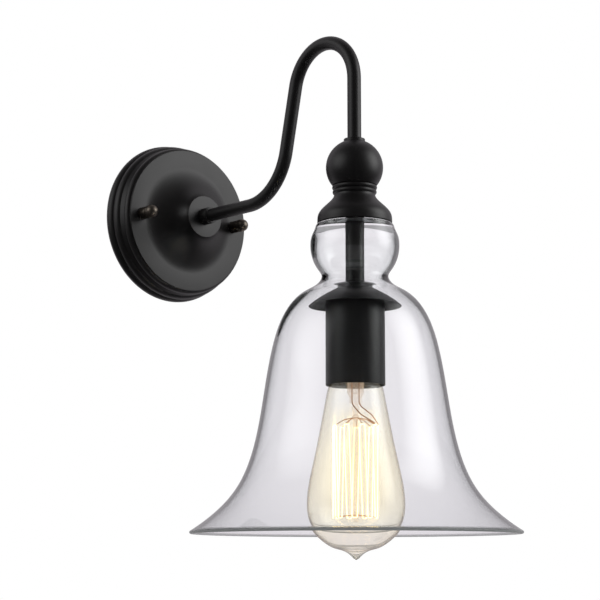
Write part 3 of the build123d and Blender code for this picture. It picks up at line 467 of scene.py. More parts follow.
def arc_through(first, middle, last, steps):
    """Points on the circle through three points, from the first to the last."""
    ax, ay = first
    bx, by = middle
    cx, cy = last
    d = 2 * (ax * (by - cy) + bx * (cy - ay) + cx * (ay - by))
    ux = ((ax * ax + ay * ay) * (by - cy) + (bx * bx + by * by) * (cy - ay)
          + (cx * cx + cy * cy) * (ay - by)) / d
    uy = ((ax * ax + ay * ay) * (cx - bx) + (bx * bx + by * by) * (ax - cx)
          + (cx * cx + cy * cy) * (bx - ax)) / d
    radius = math.hypot(ax - ux, ay - uy)
    start = math.atan2(ay - uy, ax - ux)
    passing = (math.atan2(by - uy, bx - ux) - start) % (2 * math.pi)
    sweep = (math.atan2(cy - uy, cx - ux) - start) % (2 * math.pi)
    if passing > sweep:
        sweep -= 2 * math.pi
    return [(ux + radius * math.cos(start + sweep * step / steps),
             uy + radius * math.sin(start + sweep * step / steps)) for step in range(steps + 1)]


def end_slope(knots, values):
    """Slope at the first knot of the curve through the first four."""
    near = knots[:4] - knots[0]
    return np.polyfit(near, values[:4], len(near) - 1)[-2]


def flowing(points, steps=10, start=None, end=None):
    """Points on a smooth line through the given ones, with optional end directions."""
    values = np.array(points, float)
    knots = np.concatenate(([0.0], np.cumsum(np.linalg.norm(np.diff(values, axis=0), axis=1))))
    count = len(points)
    first = np.array(start, float) if start else end_slope(knots, values)
    last = np.array(end, float) if end else end_slope(knots[::-1], values[::-1])
    system = np.zeros((count, count))
    sides = np.zeros((count, 2))
    system[0, 0] = system[-1, -1] = 1.0
    sides[0], sides[-1] = first, last
    for i in range(1, count - 1):
        before, after = knots[i] - knots[i - 1], knots[i + 1] - knots[i]
        system[i, i - 1] = after
        system[i, i] = 2 * (before + after)
        system[i, i + 1] = before
        sides[i] = 3 * (after * (values[i] - values[i - 1]) / before
                        + before * (values[i + 1] - values[i]) / after)
    slopes = np.linalg.solve(system, sides)
    made = []
    for i in range(count - 1):
        run = knots[i + 1] - knots[i]
        for step in range(steps):
            t = step / steps
            made.append(tuple(
                (2 * t ** 3 - 3 * t ** 2 + 1) * values[i]
                + (t ** 3 - 2 * t ** 2 + t) * run * slopes[i]
                + (3 * t ** 2 - 2 * t ** 3) * values[i + 1]
                + (t ** 3 - t ** 2) * run * slopes[i + 1]))
    made.append(tuple(values[-1]))
    return made


def inset(points, walls):
    """Points moved square to their line by a wall each, towards the axis and upwards."""
    moved = []
    for index, (point, wall) in enumerate(zip(points, walls)):
        before = points[max(index - 1, 0)]
        after = points[min(index + 1, len(points) - 1)]
        run = math.hypot(after[0] - before[0], after[1] - before[1])
        moved.append((point[0] + wall * (after[1] - before[1]) / run,
                      point[1] - wall * (after[0] - before[0]) / run))
    return moved


# Meshes

# Angles, in degrees, over which an edge stays sharp
SHARP, SOFT_SHARP, WIRE_SHARP, BLOWN_SHARP = 32.0, 40.0, 50.0, 60.0
# Steps round a turned piece, by its size
SHADE_TURNS, LARGE_TURNS, MIDDLE_TURNS, SMALL_TURNS = 224, 160, 96, 64
TINY = 1e-7


def smooth(mesh, angle):
    """Shades a mesh smooth, apart from edges over an angle in degrees."""
    mesh.shade_smooth()
    mesh.set_sharp_from_angle(angle=math.radians(angle))


def add_object(name, data):
    piece = bpy.data.objects.new(name, data)
    bpy.context.scene.collection.objects.link(piece)
    return piece


def keep_mesh(name, bm, angle=SHARP):
    """Makes an object of a mesh, its faces outwards and its soft edges smooth."""
    bmesh.ops.recalc_face_normals(bm, faces=bm.faces)
    mesh = bpy.data.meshes.new(name)
    bm.to_mesh(mesh)
    bm.free()
    smooth(mesh, angle)
    return add_object(name, mesh)


def settle(piece, angle=SHARP):
    """Turns a piece's modifiers into plain mesh."""
    shown = piece.evaluated_get(bpy.context.evaluated_depsgraph_get())
    mesh = bpy.data.meshes.new_from_object(shown)
    piece.modifiers.clear()
    piece.data = mesh
    mesh.name = piece.name
    smooth(mesh, angle)


def on_stack(radius, turn, height):
    """A point about the shade's axis."""
    return (radius * math.cos(turn), -REACH + radius * math.sin(turn), height)


def on_wall(centre):
    """Places points about an axis square to the wall, through that x."""
    def place(radius, turn, distance):
        return (centre + radius * math.cos(turn), -distance, radius * math.sin(turn))
    return place


def turned(name, outline, place=on_stack, turns=128, angle=SHARP, reshape=None):
    """A closed outline turned about its axis; reshape gives each point its own radius."""
    kept = [p for i, p in enumerate(outline) if math.dist(p, outline[i - 1]) > TINY]
    bm = bmesh.new()
    rings = []
    for radius, height in kept:
        if radius < TINY:
            rings.append([bm.verts.new(place(0.0, 0.0, height))] * turns)
            continue
        ring = []
        for step in range(turns):
            turn = 2 * math.pi * step / turns
            out = radius if reshape is None else reshape(radius, turn, height)
            ring.append(bm.verts.new(place(out, turn, height)))
        rings.append(ring)
    for index, ring in enumerate(rings):
        after = rings[(index + 1) % len(rings)]
        for step in range(turns):
            nxt = (step + 1) % turns
            around = []
            for vert in (ring[step], ring[nxt], after[nxt], after[step]):
                if vert not in around:
                    around.append(vert)
            if len(around) > 2:
                bm.faces.new(around)
    return keep_mesh(name, bm, angle)


def round_ring(name, node, bore, ease, turns=MIDDLE_TURNS):
    """A plain ring that fills a node's length, its outer edges eased."""
    low, high, radius = span(node)
    return turned(name, corners([(bore, low), (radius, low, ease), (radius, high, ease),
                                 (bore, high)]), on_stack, turns)


def eased(name, node, width):
    """A copy of a packed node with merged points and softened edges."""
    bm = bmesh.new()
    bm.from_mesh(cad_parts[node].data)
    bmesh.ops.remove_doubles(bm, verts=bm.verts, dist=0.002 * MM)
    bmesh.ops.dissolve_limit(bm, angle_limit=math.radians(1.0), verts=bm.verts, edges=bm.edges)
    piece = keep_mesh(name, bm)
    if width > 0:
        bevel = piece.modifiers.new("ease", "BEVEL")
        bevel.width = width
        bevel.segments = 2
        bevel.limit_method = "ANGLE"
        bevel.angle_limit = math.radians(30.0)
        settle(piece)
    return piece


def dress(piece, finish, body, slot, *nodes):
    """Gives a piece its finish and its body, and hides the nodes it stands for; the slot is not
    used.
    """
    piece.data.materials.clear()
    piece.data.materials.append(bpy.data.materials[finish])
    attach(piece, body)
    if nodes:
        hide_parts(*nodes)


def painted(piece, node):
    dress(piece, "satin_black_paint", "fixture", "black_paint", node)


def tube_mesh(name, route, radius, sides):
    """A round wire along points."""
    points = [Vector(p) for p in route]
    bm = bmesh.new()
    rings = []
    across_way = (points[1] - points[0]).orthogonal()
    for index, point in enumerate(points):
        ahead = points[min(index + 1, len(points) - 1)] - points[max(index - 1, 0)]
        ahead.normalize()
        across_way = (across_way - ahead * across_way.dot(ahead)).normalized()
        up = ahead.cross(across_way)
        rings.append([
            bm.verts.new(point + radius * (math.cos(a) * across_way + math.sin(a) * up))
            for a in (2 * math.pi * side / sides for side in range(sides))])
    for ring, after in zip(rings, rings[1:]):
        for side in range(sides):
            nxt = (side + 1) % sides
            bm.faces.new((ring[side], ring[nxt], after[nxt], after[side]))
    bm.faces.new(rings[0])
    bm.faces.new(rings[-1])
    return keep_mesh(name, bm, WIRE_SHARP)


def soft_route(points, radius, steps=8):
    """A route in space with its corners bent to a radius."""
    made = [Vector(points[0])]
    for before, here, after in zip(points, points[1:], points[2:]):
        here = Vector(here)
        back = (Vector(before) - here).normalized()
        ahead = (Vector(after) - here).normalized()
        half = back.angle(ahead) / 2
        reach = radius / math.tan(half)
        reach = min(reach, (Vector(before) - here).length / 2, (Vector(after) - here).length / 2)
        first, last = here + back * reach, here + ahead * reach
        for step in range(steps + 1):
            share = step / steps
            made.append((1 - share) ** 2 * first + 2 * share * (1 - share) * here
                        + share ** 2 * last)
    made.append(Vector(points[-1]))
    return made


# Geometry Nodes

class Pattern(Tree):
    """A geometry tree with named inputs."""

    def __init__(self, name, **inputs):
        super().__init__(bpy.data.node_groups.new(name, "GeometryNodeTree"))
        sockets = [("Geometry", "OUTPUT", "Geometry"), ("Geometry", "INPUT", "Geometry")]
        sockets += [(key.replace("_", " "), "INPUT", kind) for key, kind in inputs.items()]
        for key, way, kind in sockets:
            self.tree.interface.new_socket(key, in_out=way, socket_type=f"NodeSocket{kind}")
        self.given = self.tree.nodes.new("NodeGroupInput")

    def input(self, name):
        return Socket(self.tree, self.given.outputs[name])

    def bent_tube(self, wire, bend, bend_steps, radius, sides, finish):
        """Ends the tree with a tube along a wire whose corners are bent."""
        bent = self.add("GeometryNodeFilletCurve", {"mode": "POLY"}, Curve=wire, Count=bend_steps,
                        Radius=bend)
        ring = self.add("GeometryNodeCurvePrimitiveCircle", Resolution=sides, Radius=radius)
        return self.close(self.add("GeometryNodeCurveToMesh", Curve=bent, Profile_Curve=ring,
                                   Fill_Caps=True), finish)

    def close(self, geometry, finish):
        """Ends the tree: instances made real, and a material set."""
        real = self.add("GeometryNodeRealizeInstances", Geometry=geometry)
        whole = self.add("GeometryNodeSetMaterial", Geometry=real,
                         Material=bpy.data.materials[finish])
        self.add("NodeGroupOutput", Geometry=whole)
        return self

    def run(self, name, start=None, **values):
        """Runs the finished tree on an object and keeps the result as plain mesh."""
        piece = add_object(name, start or bpy.data.meshes.new(name + "_seed"))
        modifier = piece.modifiers.new("pattern", "NODES")
        modifier.node_group = self.tree
        for item in self.tree.interface.items_tree:
            key = item.name.replace(" ", "_")
            if item.in_out == "INPUT" and key in values:
                modifier[item.identifier] = values[key]
        settle(piece, SOFT_SHARP)
        if not piece.data.polygons:
            raise RuntimeError(f"{name} came out empty")
        return piece


def ring_pattern(finish):
    """Repeats the piece it is given round the shade's axis."""
    made = Pattern("ring_of_wires", Count="Int", First="Float", Step="Float", Reach="Float")
    points = made.add("GeometryNodeMeshLine", Count=made.input("Count"),
                      Offset=(0.0, 0.0, 0.0))
    index = made.add("GeometryNodeInputIndex")
    angle = made.input("First") + index * made.input("Step")
    turn = made.add("ShaderNodeCombineXYZ", Z=angle)
    copies = made.add("GeometryNodeInstanceOnPoints", Points=points,
                      Instance=made.input("Geometry"), Rotation=turn)
    moved = made.add("GeometryNodeTransform", Geometry=copies,
                     Translation=made.add("ShaderNodeCombineXYZ", Y=0.0 - made.input("Reach")))
    return made.close(moved, finish)


def cage_pattern(finish):
    """One wire that runs down and up between the upper and the lower hooks, with a small loop
    over each hook."""
    made = Pattern("filament_cage", Hooks="Int", Cage="Float", Upper="Float", Lower="Float",
                   Strand="Float", First="Float", Reach="Float", Bend="Float", Loop="Float")
    hooks = made.input("Hooks")
    line = made.add("GeometryNodeMeshLine", Count=hooks * 4 - 2)
    index = made.add("GeometryNodeInputIndex")
    hook = index.math("FLOOR", index * 0.5)
    side = index.math("MODULO", index, 2.0) - 0.5
    angle = made.input("First") + (hook + side * made.input("Loop")) * math.pi / hooks
    low = hook.math("MODULO", hook, 2.0)
    height = made.input("Upper") + low * (made.input("Lower") - made.input("Upper"))
    spot = made.add(
        "ShaderNodeCombineXYZ",
        X=made.input("Cage") * angle.math("COSINE", angle),
        Y=made.input("Cage") * angle.math("SINE", angle) - made.input("Reach"),
        Z=height)
    placed = made.add("GeometryNodeSetPosition", Geometry=line, Position=spot)
    wire = made.add("GeometryNodeMeshToCurve", Mesh=placed)
    return made.bent_tube(wire, made.input("Bend"), 6, made.input("Strand"), 8, finish)


def arm_pattern(finish):
    """Tube along a route of straight runs, each corner bent to its own radius."""
    made = Pattern("bent_tube", Radius="Float", Top_bend="Float", Lower_bend="Float")
    wire = made.add("GeometryNodeMeshToCurve", Mesh=made.input("Geometry"))
    index = made.add("GeometryNodeInputIndex")
    later = index.math("GREATER_THAN", index, 1.5)
    bend = made.input("Top bend") + later * (made.input("Lower bend") - made.input("Top bend"))
    return made.bent_tube(wire, bend, 64, made.input("Radius"), 56, finish)


def line_mesh(name, points):
    """Points joined in a row, for a tree to work on."""
    mesh = bpy.data.meshes.new(name)
    mesh.from_pydata([tuple(p) for p in points], [(i, i + 1) for i in range(len(points) - 1)], [])
    return mesh


# Shares of the plate's cove: (share of the way in from ring to hub, share of the rise)
COVE_SHARES = ((0.0, 0.0), (0.123, 0.016), (0.225, 0.051), (0.369, 0.124), (0.574, 0.266),
               (0.779, 0.475), (0.934, 0.75), (1.0, 1.0))
# Shares of the cap's flare: (share of the way out, share of the way down)
CAP_FLARE_SHARES = ((0.0, 0.0), (0.19, 0.21), (0.70, 0.49), (0.95, 0.70), (1.0, 1.0))
# Shares of the globe's outline: (share of the way out from the collar above the widest point
# and from the neck below it, share of the way down from the cap's rim to the neck)
UPPER_GLOBE_SHARES = ((0.333, 0.02), (0.532, 0.10), (0.883, 0.25))
LOWER_GLOBE_SHARES = ((1.0, 0.43), (0.92, 0.58), (0.665, 0.74), (0.355, 0.85))
# Shares of the bell's outline: (share of the way out from neck to rim, share of the way down)
BELL_OUTLINE_SHARES = ((0.0115, 0.0164), (0.142, 0.0646), (0.283, 0.144), (0.383, 0.288),
                       (0.453, 0.493), (0.525, 0.681), (0.654, 0.837), (0.890, 0.961),
                       (1.0, 1.0))
# Shares of the thick top's inner outline, from the clamp's flat to the globe's wall
ROOF_OUTLINE_SHARES = ((0.0, 0.0), (0.45, 0.0), (0.72, 0.08), (0.88, 0.28), (0.96, 0.60),
                       (1.0, 1.0))
# Shares of the bulb's outline: (share of its radius, share of its length below the base)
BULB_OUTLINE_SHARES = ((0.511, 0.030), (0.597, 0.102), (0.695, 0.241),
                       (0.797, 0.382), (0.908, 0.521), (0.978, 0.626), (1.0, 0.695),
                       (0.988, 0.764), (0.892, 0.840), (0.668, 0.902), (0.440, 0.937),
                       (0.258, 0.951))
BULB_TIP_SHARES = ((0.129, 0.972), (0.06, 0.99), (0.0, 1.0))


class SCONCE_OT_finishes(Operator):
    """Make every paint, metal, glass and plastic"""
    bl_idname = "sconce.finishes"
    bl_label = "Finishes"

    def execute(self, context):
        tones = context.scene.sconce_finish
        shade = context.scene.sconce_shade
        bulb = context.scene.sconce_bulb
        satin_paint(tones.paint)
        plated("burnished_cap_nut", tones.nut, 0.30)
        plated("zinc_plate", tones.zinc, 0.30, (1.0, 4.0, 1.0))
        plated("yellow_brass", tones.brass, 0.24)
        plated("nickel_base", tones.nickel, 0.20)
        plated("copper_lead", tones.copper, 0.25)
        plated("green_ground", tones.ground, 0.35)
        moulded("black_fibre", (0.02, 0.02, 0.02), 0.6)
        moulded("phenolic_resin", (0.025, 0.022, 0.02), 0.35)
        moulded("white_block", (0.72, 0.72, 0.68), 0.35)
        moulded("brown_sleeve", (0.10, 0.035, 0.02), 0.35)
        moulded("grey_sleeve", (0.66, 0.68, 0.70), 0.35)
        moulded("black_insulator", (0.015, 0.015, 0.02), 0.08)
        # edge tones and outlines are painted shade, the shade's rim gets a painted grey line, the
        # envelope's veil is a painted glow
        clear_glass("shade_glass", shade.tint, 22.0, 0.02, (0.90, 0.90, 0.92),
                    (0.32, 0.34, 0.33), 0.22, (0.84, 0.97), rim=base("glass_shade") + 1.1 * MM)
        cage_middle = base("bulb_base_shell") - bulb.cage_drop - bulb.cage_height / 2
        clear_glass("envelope_glass", bulb.tint, 70.0, 0.01, (0.82, 0.76, 0.64),
                    (0.42, 0.29, 0.17), 0.35, (0.72, 0.92),
                    (bulb.veil, cage_middle, bulb.cage_height * 0.75))
        thin_glass("stem_glass", (0.80, 0.61, 0.47), 0.14, 0.6)
        lit_filament(bulb.glow, bulb.power)
        return {"FINISHED"}


class SCONCE_OT_plate(Operator):
    """Make the backplate with its ridges, ring, cove and hub"""
    bl_idname = "sconce.plate"
    bl_label = "Backplate"

    def execute(self, context):
        plate = context.scene.sconce_plate
        outer = across("backplate")
        depth, wall, ease = plate.depth, plate.wall, plate.ease
        hub = wall_side("hub_washer")
        hub_radius = across("hub_washer") - 0.65 * MM
        ridge_foot = outer - 2.2 * MM
        # levels of the grooves between the ridges, counted from the wall
        first, second, third, rim = 8.0 * MM, 14.5 * MM, 17.7 * MM, 23.2 * MM
        step = plate.rim + 1.1 * MM
        outside = (
            arc_through((ridge_foot, 0.0), (outer, first / 2), (ridge_foot, first), 12)
            + arc_through((ridge_foot, first), (outer - 1.4 * MM, (first + second) / 2),
                          (step + wall, second), 12)[1:]
            + [(step, third)]
            + arc_through((step, third), (step + 0.9 * MM, (third + rim) / 2),
                          (plate.rim - ease, rim), 12)[1:]
            + corners([(plate.rim - ease, rim), (plate.rim, rim + ease * 0.6),
                       (plate.rim, depth, ease * 0.9), (plate.ring_inner, depth)])[1:])
        cove = flowing([
            (plate.ring_inner - inwards * (plate.ring_inner - hub_radius),
             depth + rise * (hub - depth)) for inwards, rise in COVE_SHARES], 8, (-1, 0))
        inside_cove = [point for point in inset(cove[::-1], [wall] * len(cove))
                       if point[1] < hub - wall]
        hub_hole = clearing("arm_nipple")
        inside = (
            [(hub_hole, hub), (hub_hole, hub - wall),
             (inside_cove[0][0], hub - wall)] + inside_cove
            + [(plate.rim - 2 * wall, depth - wall), (step - wall, second),
               (ridge_foot - wall, first), (ridge_foot - wall, 0.0)])
        piece = turned("backplate_shell", outside + cove[1:] + inside, on_wall(0.0), 192)
        low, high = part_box("studs")
        stud_place = high.x - (high.z - low.z) / 2
        for centre in (-stud_place, stud_place):
            drill = turned("drill", [(0.0, -depth), (plate.stud_hole, -depth),
                                     (plate.stud_hole, 3 * depth), (0.0, 3 * depth)],
                           on_wall(centre), 32)
            cut = piece.modifiers.new("hole", "BOOLEAN")
            cut.object = drill
            cut.solver = "EXACT"
            settle(piece)
            bpy.data.objects.remove(drill)
        painted(piece, "backplate")
        return {"FINISHED"}


ARM_GAP = 0.05 * MM


class SCONCE_OT_hub(Operator):
    """Make the hub washer and the arm's collar"""
    bl_idname = "sconce.hub"
    bl_label = "Hub and collar"

    def execute(self, context):
        near, far = wall_side("hub_washer"), room_side("hub_washer")
        bore = clearing("arm_nipple")
        radius = across("hub_washer")
        washer = turned("hub_washer_disc", corners([
            (bore, near), (radius, near, 0.2 * MM), (radius, far, 0.35 * MM), (bore, far)]),
            on_wall(0.0), 128)
        painted(washer, "hub_washer")

        near, far = wall_side("arm_collar"), room_side("arm_collar")
        radius = across("arm_collar")
        lip, lip_level = radius - 0.6 * MM, far - 0.9 * MM
        seat, seat_level = context.scene.sconce_arm.radius + ARM_GAP, far - 4.5 * MM
        collar = turned("arm_collar_turned", corners([
            (bore, near), (radius, near, 0.3 * MM), (radius, lip_level, 0.3 * MM),
            (lip, lip_level), (lip, far, 0.25 * MM), (seat, far),
            (seat, seat_level), (bore, seat_level)]), on_wall(0.0), MIDDLE_TURNS)
        painted(collar, "arm_collar")
        return {"FINISHED"}


class SCONCE_OT_arm(Operator):
    """Bend the gooseneck arm"""
    bl_idname = "sconce.arm"
    bl_label = "Gooseneck arm"

    def execute(self, context):
        arm = context.scene.sconce_arm
        lean = arm.lean
        bend_level = arm.top - arm.top_bend
        leg_place = -REACH + arm.top_bend * (1 + math.cos(lean))
        leg_level = bend_level + arm.top_bend * math.sin(lean)
        # the leg's line meets the drop's line above, and the run's line below
        crown = leg_level + (leg_place + REACH) / math.tan(lean)
        knee = leg_place + leg_level * math.tan(lean)
        route = [(0.0, -REACH, base("gooseneck_arm")), (0.0, -REACH, crown), (0.0, knee, 0.0),
                 (0.0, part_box("gooseneck_arm")[1].y, 0.0)]
        piece = arm_pattern("satin_black_paint").run(
            "gooseneck_tube", line_mesh("arm_route", route), Radius=arm.radius,
            Top_bend=arm.top_bend, Lower_bend=arm.lower_bend)
        painted(piece, "gooseneck_arm")
        return {"FINISHED"}


class SCONCE_OT_turned_stack(Operator):
    """Make the ball, the beaded neck ring and the flared cap"""
    bl_idname = "sconce.turned_stack"
    bl_label = "Ball, neck and cap"

    def execute(self, context):
        arm = context.scene.sconce_arm.radius + ARM_GAP
        thread = clearing("stem_nipple")
        low, high, radius = span("ball")
        collar, collar_height, seat_level = 7.3 * MM, 2.0 * MM, top("ball") - 12.0 * MM
        centre = high - collar_height - math.sqrt(radius ** 2 - collar ** 2)
        foot = math.degrees(math.asin((low - centre) / radius))
        head = math.degrees(math.acos(collar / radius))
        ball = turned("ball_turned", corners([
            (thread, low), (radius * math.cos(math.radians(foot)) - 0.2 * MM, low)])
            + arc((0.0, centre), radius, foot, head, 56)
            + corners([(collar, high - collar_height), (collar, high, 0.5 * MM), (arm, high)])[1:]
            + [(arm, seat_level), (thread, seat_level)], on_stack, LARGE_TURNS)
        painted(ball, "ball")

        low, high, radius = span("neck_ring")
        half = (high - low) / 2
        groove = radius - 1.1 * MM
        ring = turned("neck_beads", arc_through(
            (groove, high), (radius, high - half / 2), (groove, high - half), 14)
            + arc_through((groove, high - half), (radius - 0.3 * MM, low + half / 2),
                          (groove - 0.2 * MM, low), 14)[1:]
            + [(thread, low), (thread, high)], on_stack, LARGE_TURNS)
        painted(ring, "neck_ring")

        low, high, radius = span("shade_cap")
        neck = 14.0 * MM
        roof = top("upper_gasket")
        rim_wall, shoulder, drop = 1.2 * MM, 2.7 * MM, 4.0 * MM
        flare = flowing([
            (neck + out * (radius - neck), high - down * (high - low))
            for out, down in CAP_FLARE_SHARES], 14, (0, -1), (0, -1))
        cap = turned("cap_flare", flare[:-1] + corners([
            (radius, low, 0.3 * MM), (radius - rim_wall, low, 0.3 * MM),
            (radius - rim_wall, roof - drop), (radius - rim_wall - shoulder, roof),
            (thread, roof), (thread, high)]), on_stack, LARGE_TURNS)
        painted(cap, "shade_cap")
        return {"FINISHED"}


class SCONCE_OT_shade(Operator):
    """Blow the glass shade: thick top, globe, neck and bell"""
    bl_idname = "sconce.shade"
    bl_label = "Glass shade"

    def execute(self, context):
        shade = context.scene.sconce_shade
        head = top("glass_shade")
        rim_of_cap = base("shade_cap")
        neck_level = rim_of_cap - shade.globe_drop
        outer = [
            (inner + out * (shade.globe - inner), rim_of_cap - down * shade.globe_drop)
            for inner, shares in ((shade.collar, UPPER_GLOBE_SHARES),
                                  (shade.neck, LOWER_GLOBE_SHARES))
            for out, down in shares]
        widest = len(UPPER_GLOBE_SHARES)
        walls = [shade.globe_wall] * len(outer) + [shade.neck_wall]
        outer.append((shade.neck, neck_level))
        reach = across("glass_shade") - shade.rim_bulge - shade.neck
        last = len(BELL_OUTLINE_SHARES) - 1
        for step, (out, down) in enumerate(BELL_OUTLINE_SHARES):
            outer.append((shade.neck + out * reach, neck_level - down * shade.bell_drop))
            walls.append(shade.bell_wall + (shade.rim_wall - shade.bell_wall) * step / last)
        inner = inset(outer, walls)[widest:]
        roof = head - shade.roof
        ceiling = [
            (shade.clamp_flat + out * (inner[0][0] - shade.clamp_flat),
             roof - down * (roof - inner[0][1])) for out, down in ROOF_OUTLINE_SHARES[:-1]]
        outside = flowing([(shade.collar, rim_of_cap - 0.3 * MM)] + outer, 11)
        inside = flowing(ceiling + inner, 9)
        edge_out, edge_in = np.array(outside[-1]), np.array(inside[-1])
        edge_middle = (edge_out + edge_in) / 2 + shade.rim_wall / 3 * np.array((1, -1))
        edge = arc_through(tuple(edge_out), tuple(edge_middle), tuple(edge_in), 10)
        rounding = arc((shade.collar - shade.collar_fillet, head - shade.collar_fillet),
                       shade.collar_fillet, 90.0, 0.0, 12)
        outline = (rounding + outside + edge[1:-1] + inside[::-1]
                   + [(shade.hole, roof), (shade.hole, head)])
        piece = turned("glass_bell_shade", outline, on_stack, SHADE_TURNS, SOFT_SHARP)
        dress(piece, "shade_glass", "fixture", "clear_glass", "glass_shade")
        return {"FINISHED"}


class SCONCE_OT_hanger(Operator):
    """Make the gaskets, clamp washer, down tube, disc and socket cup"""
    bl_idname = "sconce.hanger"
    bl_label = "Down tube, disc and cup"

    def execute(self, context):
        bore = clearing("stem_nipple")
        for node, name, finish, slot, ease in (
                ("upper_gasket", "upper_gasket_ring", "black_fibre", "fibre", 0.3),
                ("lower_gasket", "lower_gasket_ring", "black_fibre", "fibre", 0.3),
                ("clamp_washer", "clamp_washer_ring", "zinc_plate", "zinc", 0.25),
                ("down_tube", "down_tube_turned", "satin_black_paint", "black_paint", 0.5)):
            dress(round_ring(name, node, bore, ease * MM), finish, "fixture", slot, node)

        low, high, radius = span("shade_disc")
        flat, thick = 8.2 * MM, 1.0 * MM
        drop = high - low
        sphere = (radius ** 2 - flat ** 2 + drop ** 2) / (2 * drop)
        ball = math.hypot(radius, sphere - drop)
        centre = high - math.sqrt(ball ** 2 - flat ** 2)
        crown, underside = (
            arc((0.0, centre), size, math.degrees(math.acos(flat / size)),
                math.degrees(math.asin((low - centre) / size)), 40)
            for size in (ball, ball - thick))
        disc = turned("shade_disc_spun", [(bore, high)] + crown + underside[::-1]
                      + [(bore, underside[0][1])], on_stack, LARGE_TURNS)
        painted(disc, "shade_disc")

        low, high, radius = span("socket_cup")
        wall = 1.0 * MM
        cup = turned("socket_cup_drawn", corners([
            (bore, high), (radius, high, 1.2 * MM), (radius, low, 0.3 * MM),
            (radius - wall, low, 0.2 * MM), (radius - wall, high - wall, 0.5 * MM),
            (bore, high - wall)]), on_stack, 128)
        painted(cup, "socket_cup")
        return {"FINISHED"}


class SCONCE_OT_cap_nuts(Operator):
    """Turn the two cap nuts"""
    bl_idname = "sconce.cap_nuts"
    bl_label = "Cap nuts"

    def execute(self, context):
        for node, body in (("left_cap_nut", "left_nut"), ("right_cap_nut", "right_nut")):
            low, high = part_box(node)
            near, far = wall_side(node), room_side(node)
            # radii of the barrel, the bead, the neck between them and the ball
            barrel, ring, neck, head = 4.5 * MM, across(node), 3.9 * MM, 4.7 * MM
            thread = 2.05 * MM
            groove, bead, shoulder, blind = (
                near + rise * MM for rise in (8.0, 8.8, 10.4, 9.6))
            outline = (
                corners([(thread, near), (barrel, near, 0.3 * MM), (barrel, groove, 0.35 * MM),
                         (neck, groove), (neck, bead), (ring, bead, 0.45 * MM),
                         (ring, shoulder, 0.45 * MM), (head, shoulder)])
                + arc((0.0, far - head), head, 0.0, 90.0, 18) + [(0.0, blind), (thread, blind)])
            nut = turned(f"{node}_turned", outline, on_wall((low.x + high.x) / 2), SMALL_TURNS)
            dress(nut, "burnished_cap_nut", body, "dark_bronze", node)
        return {"FINISHED"}


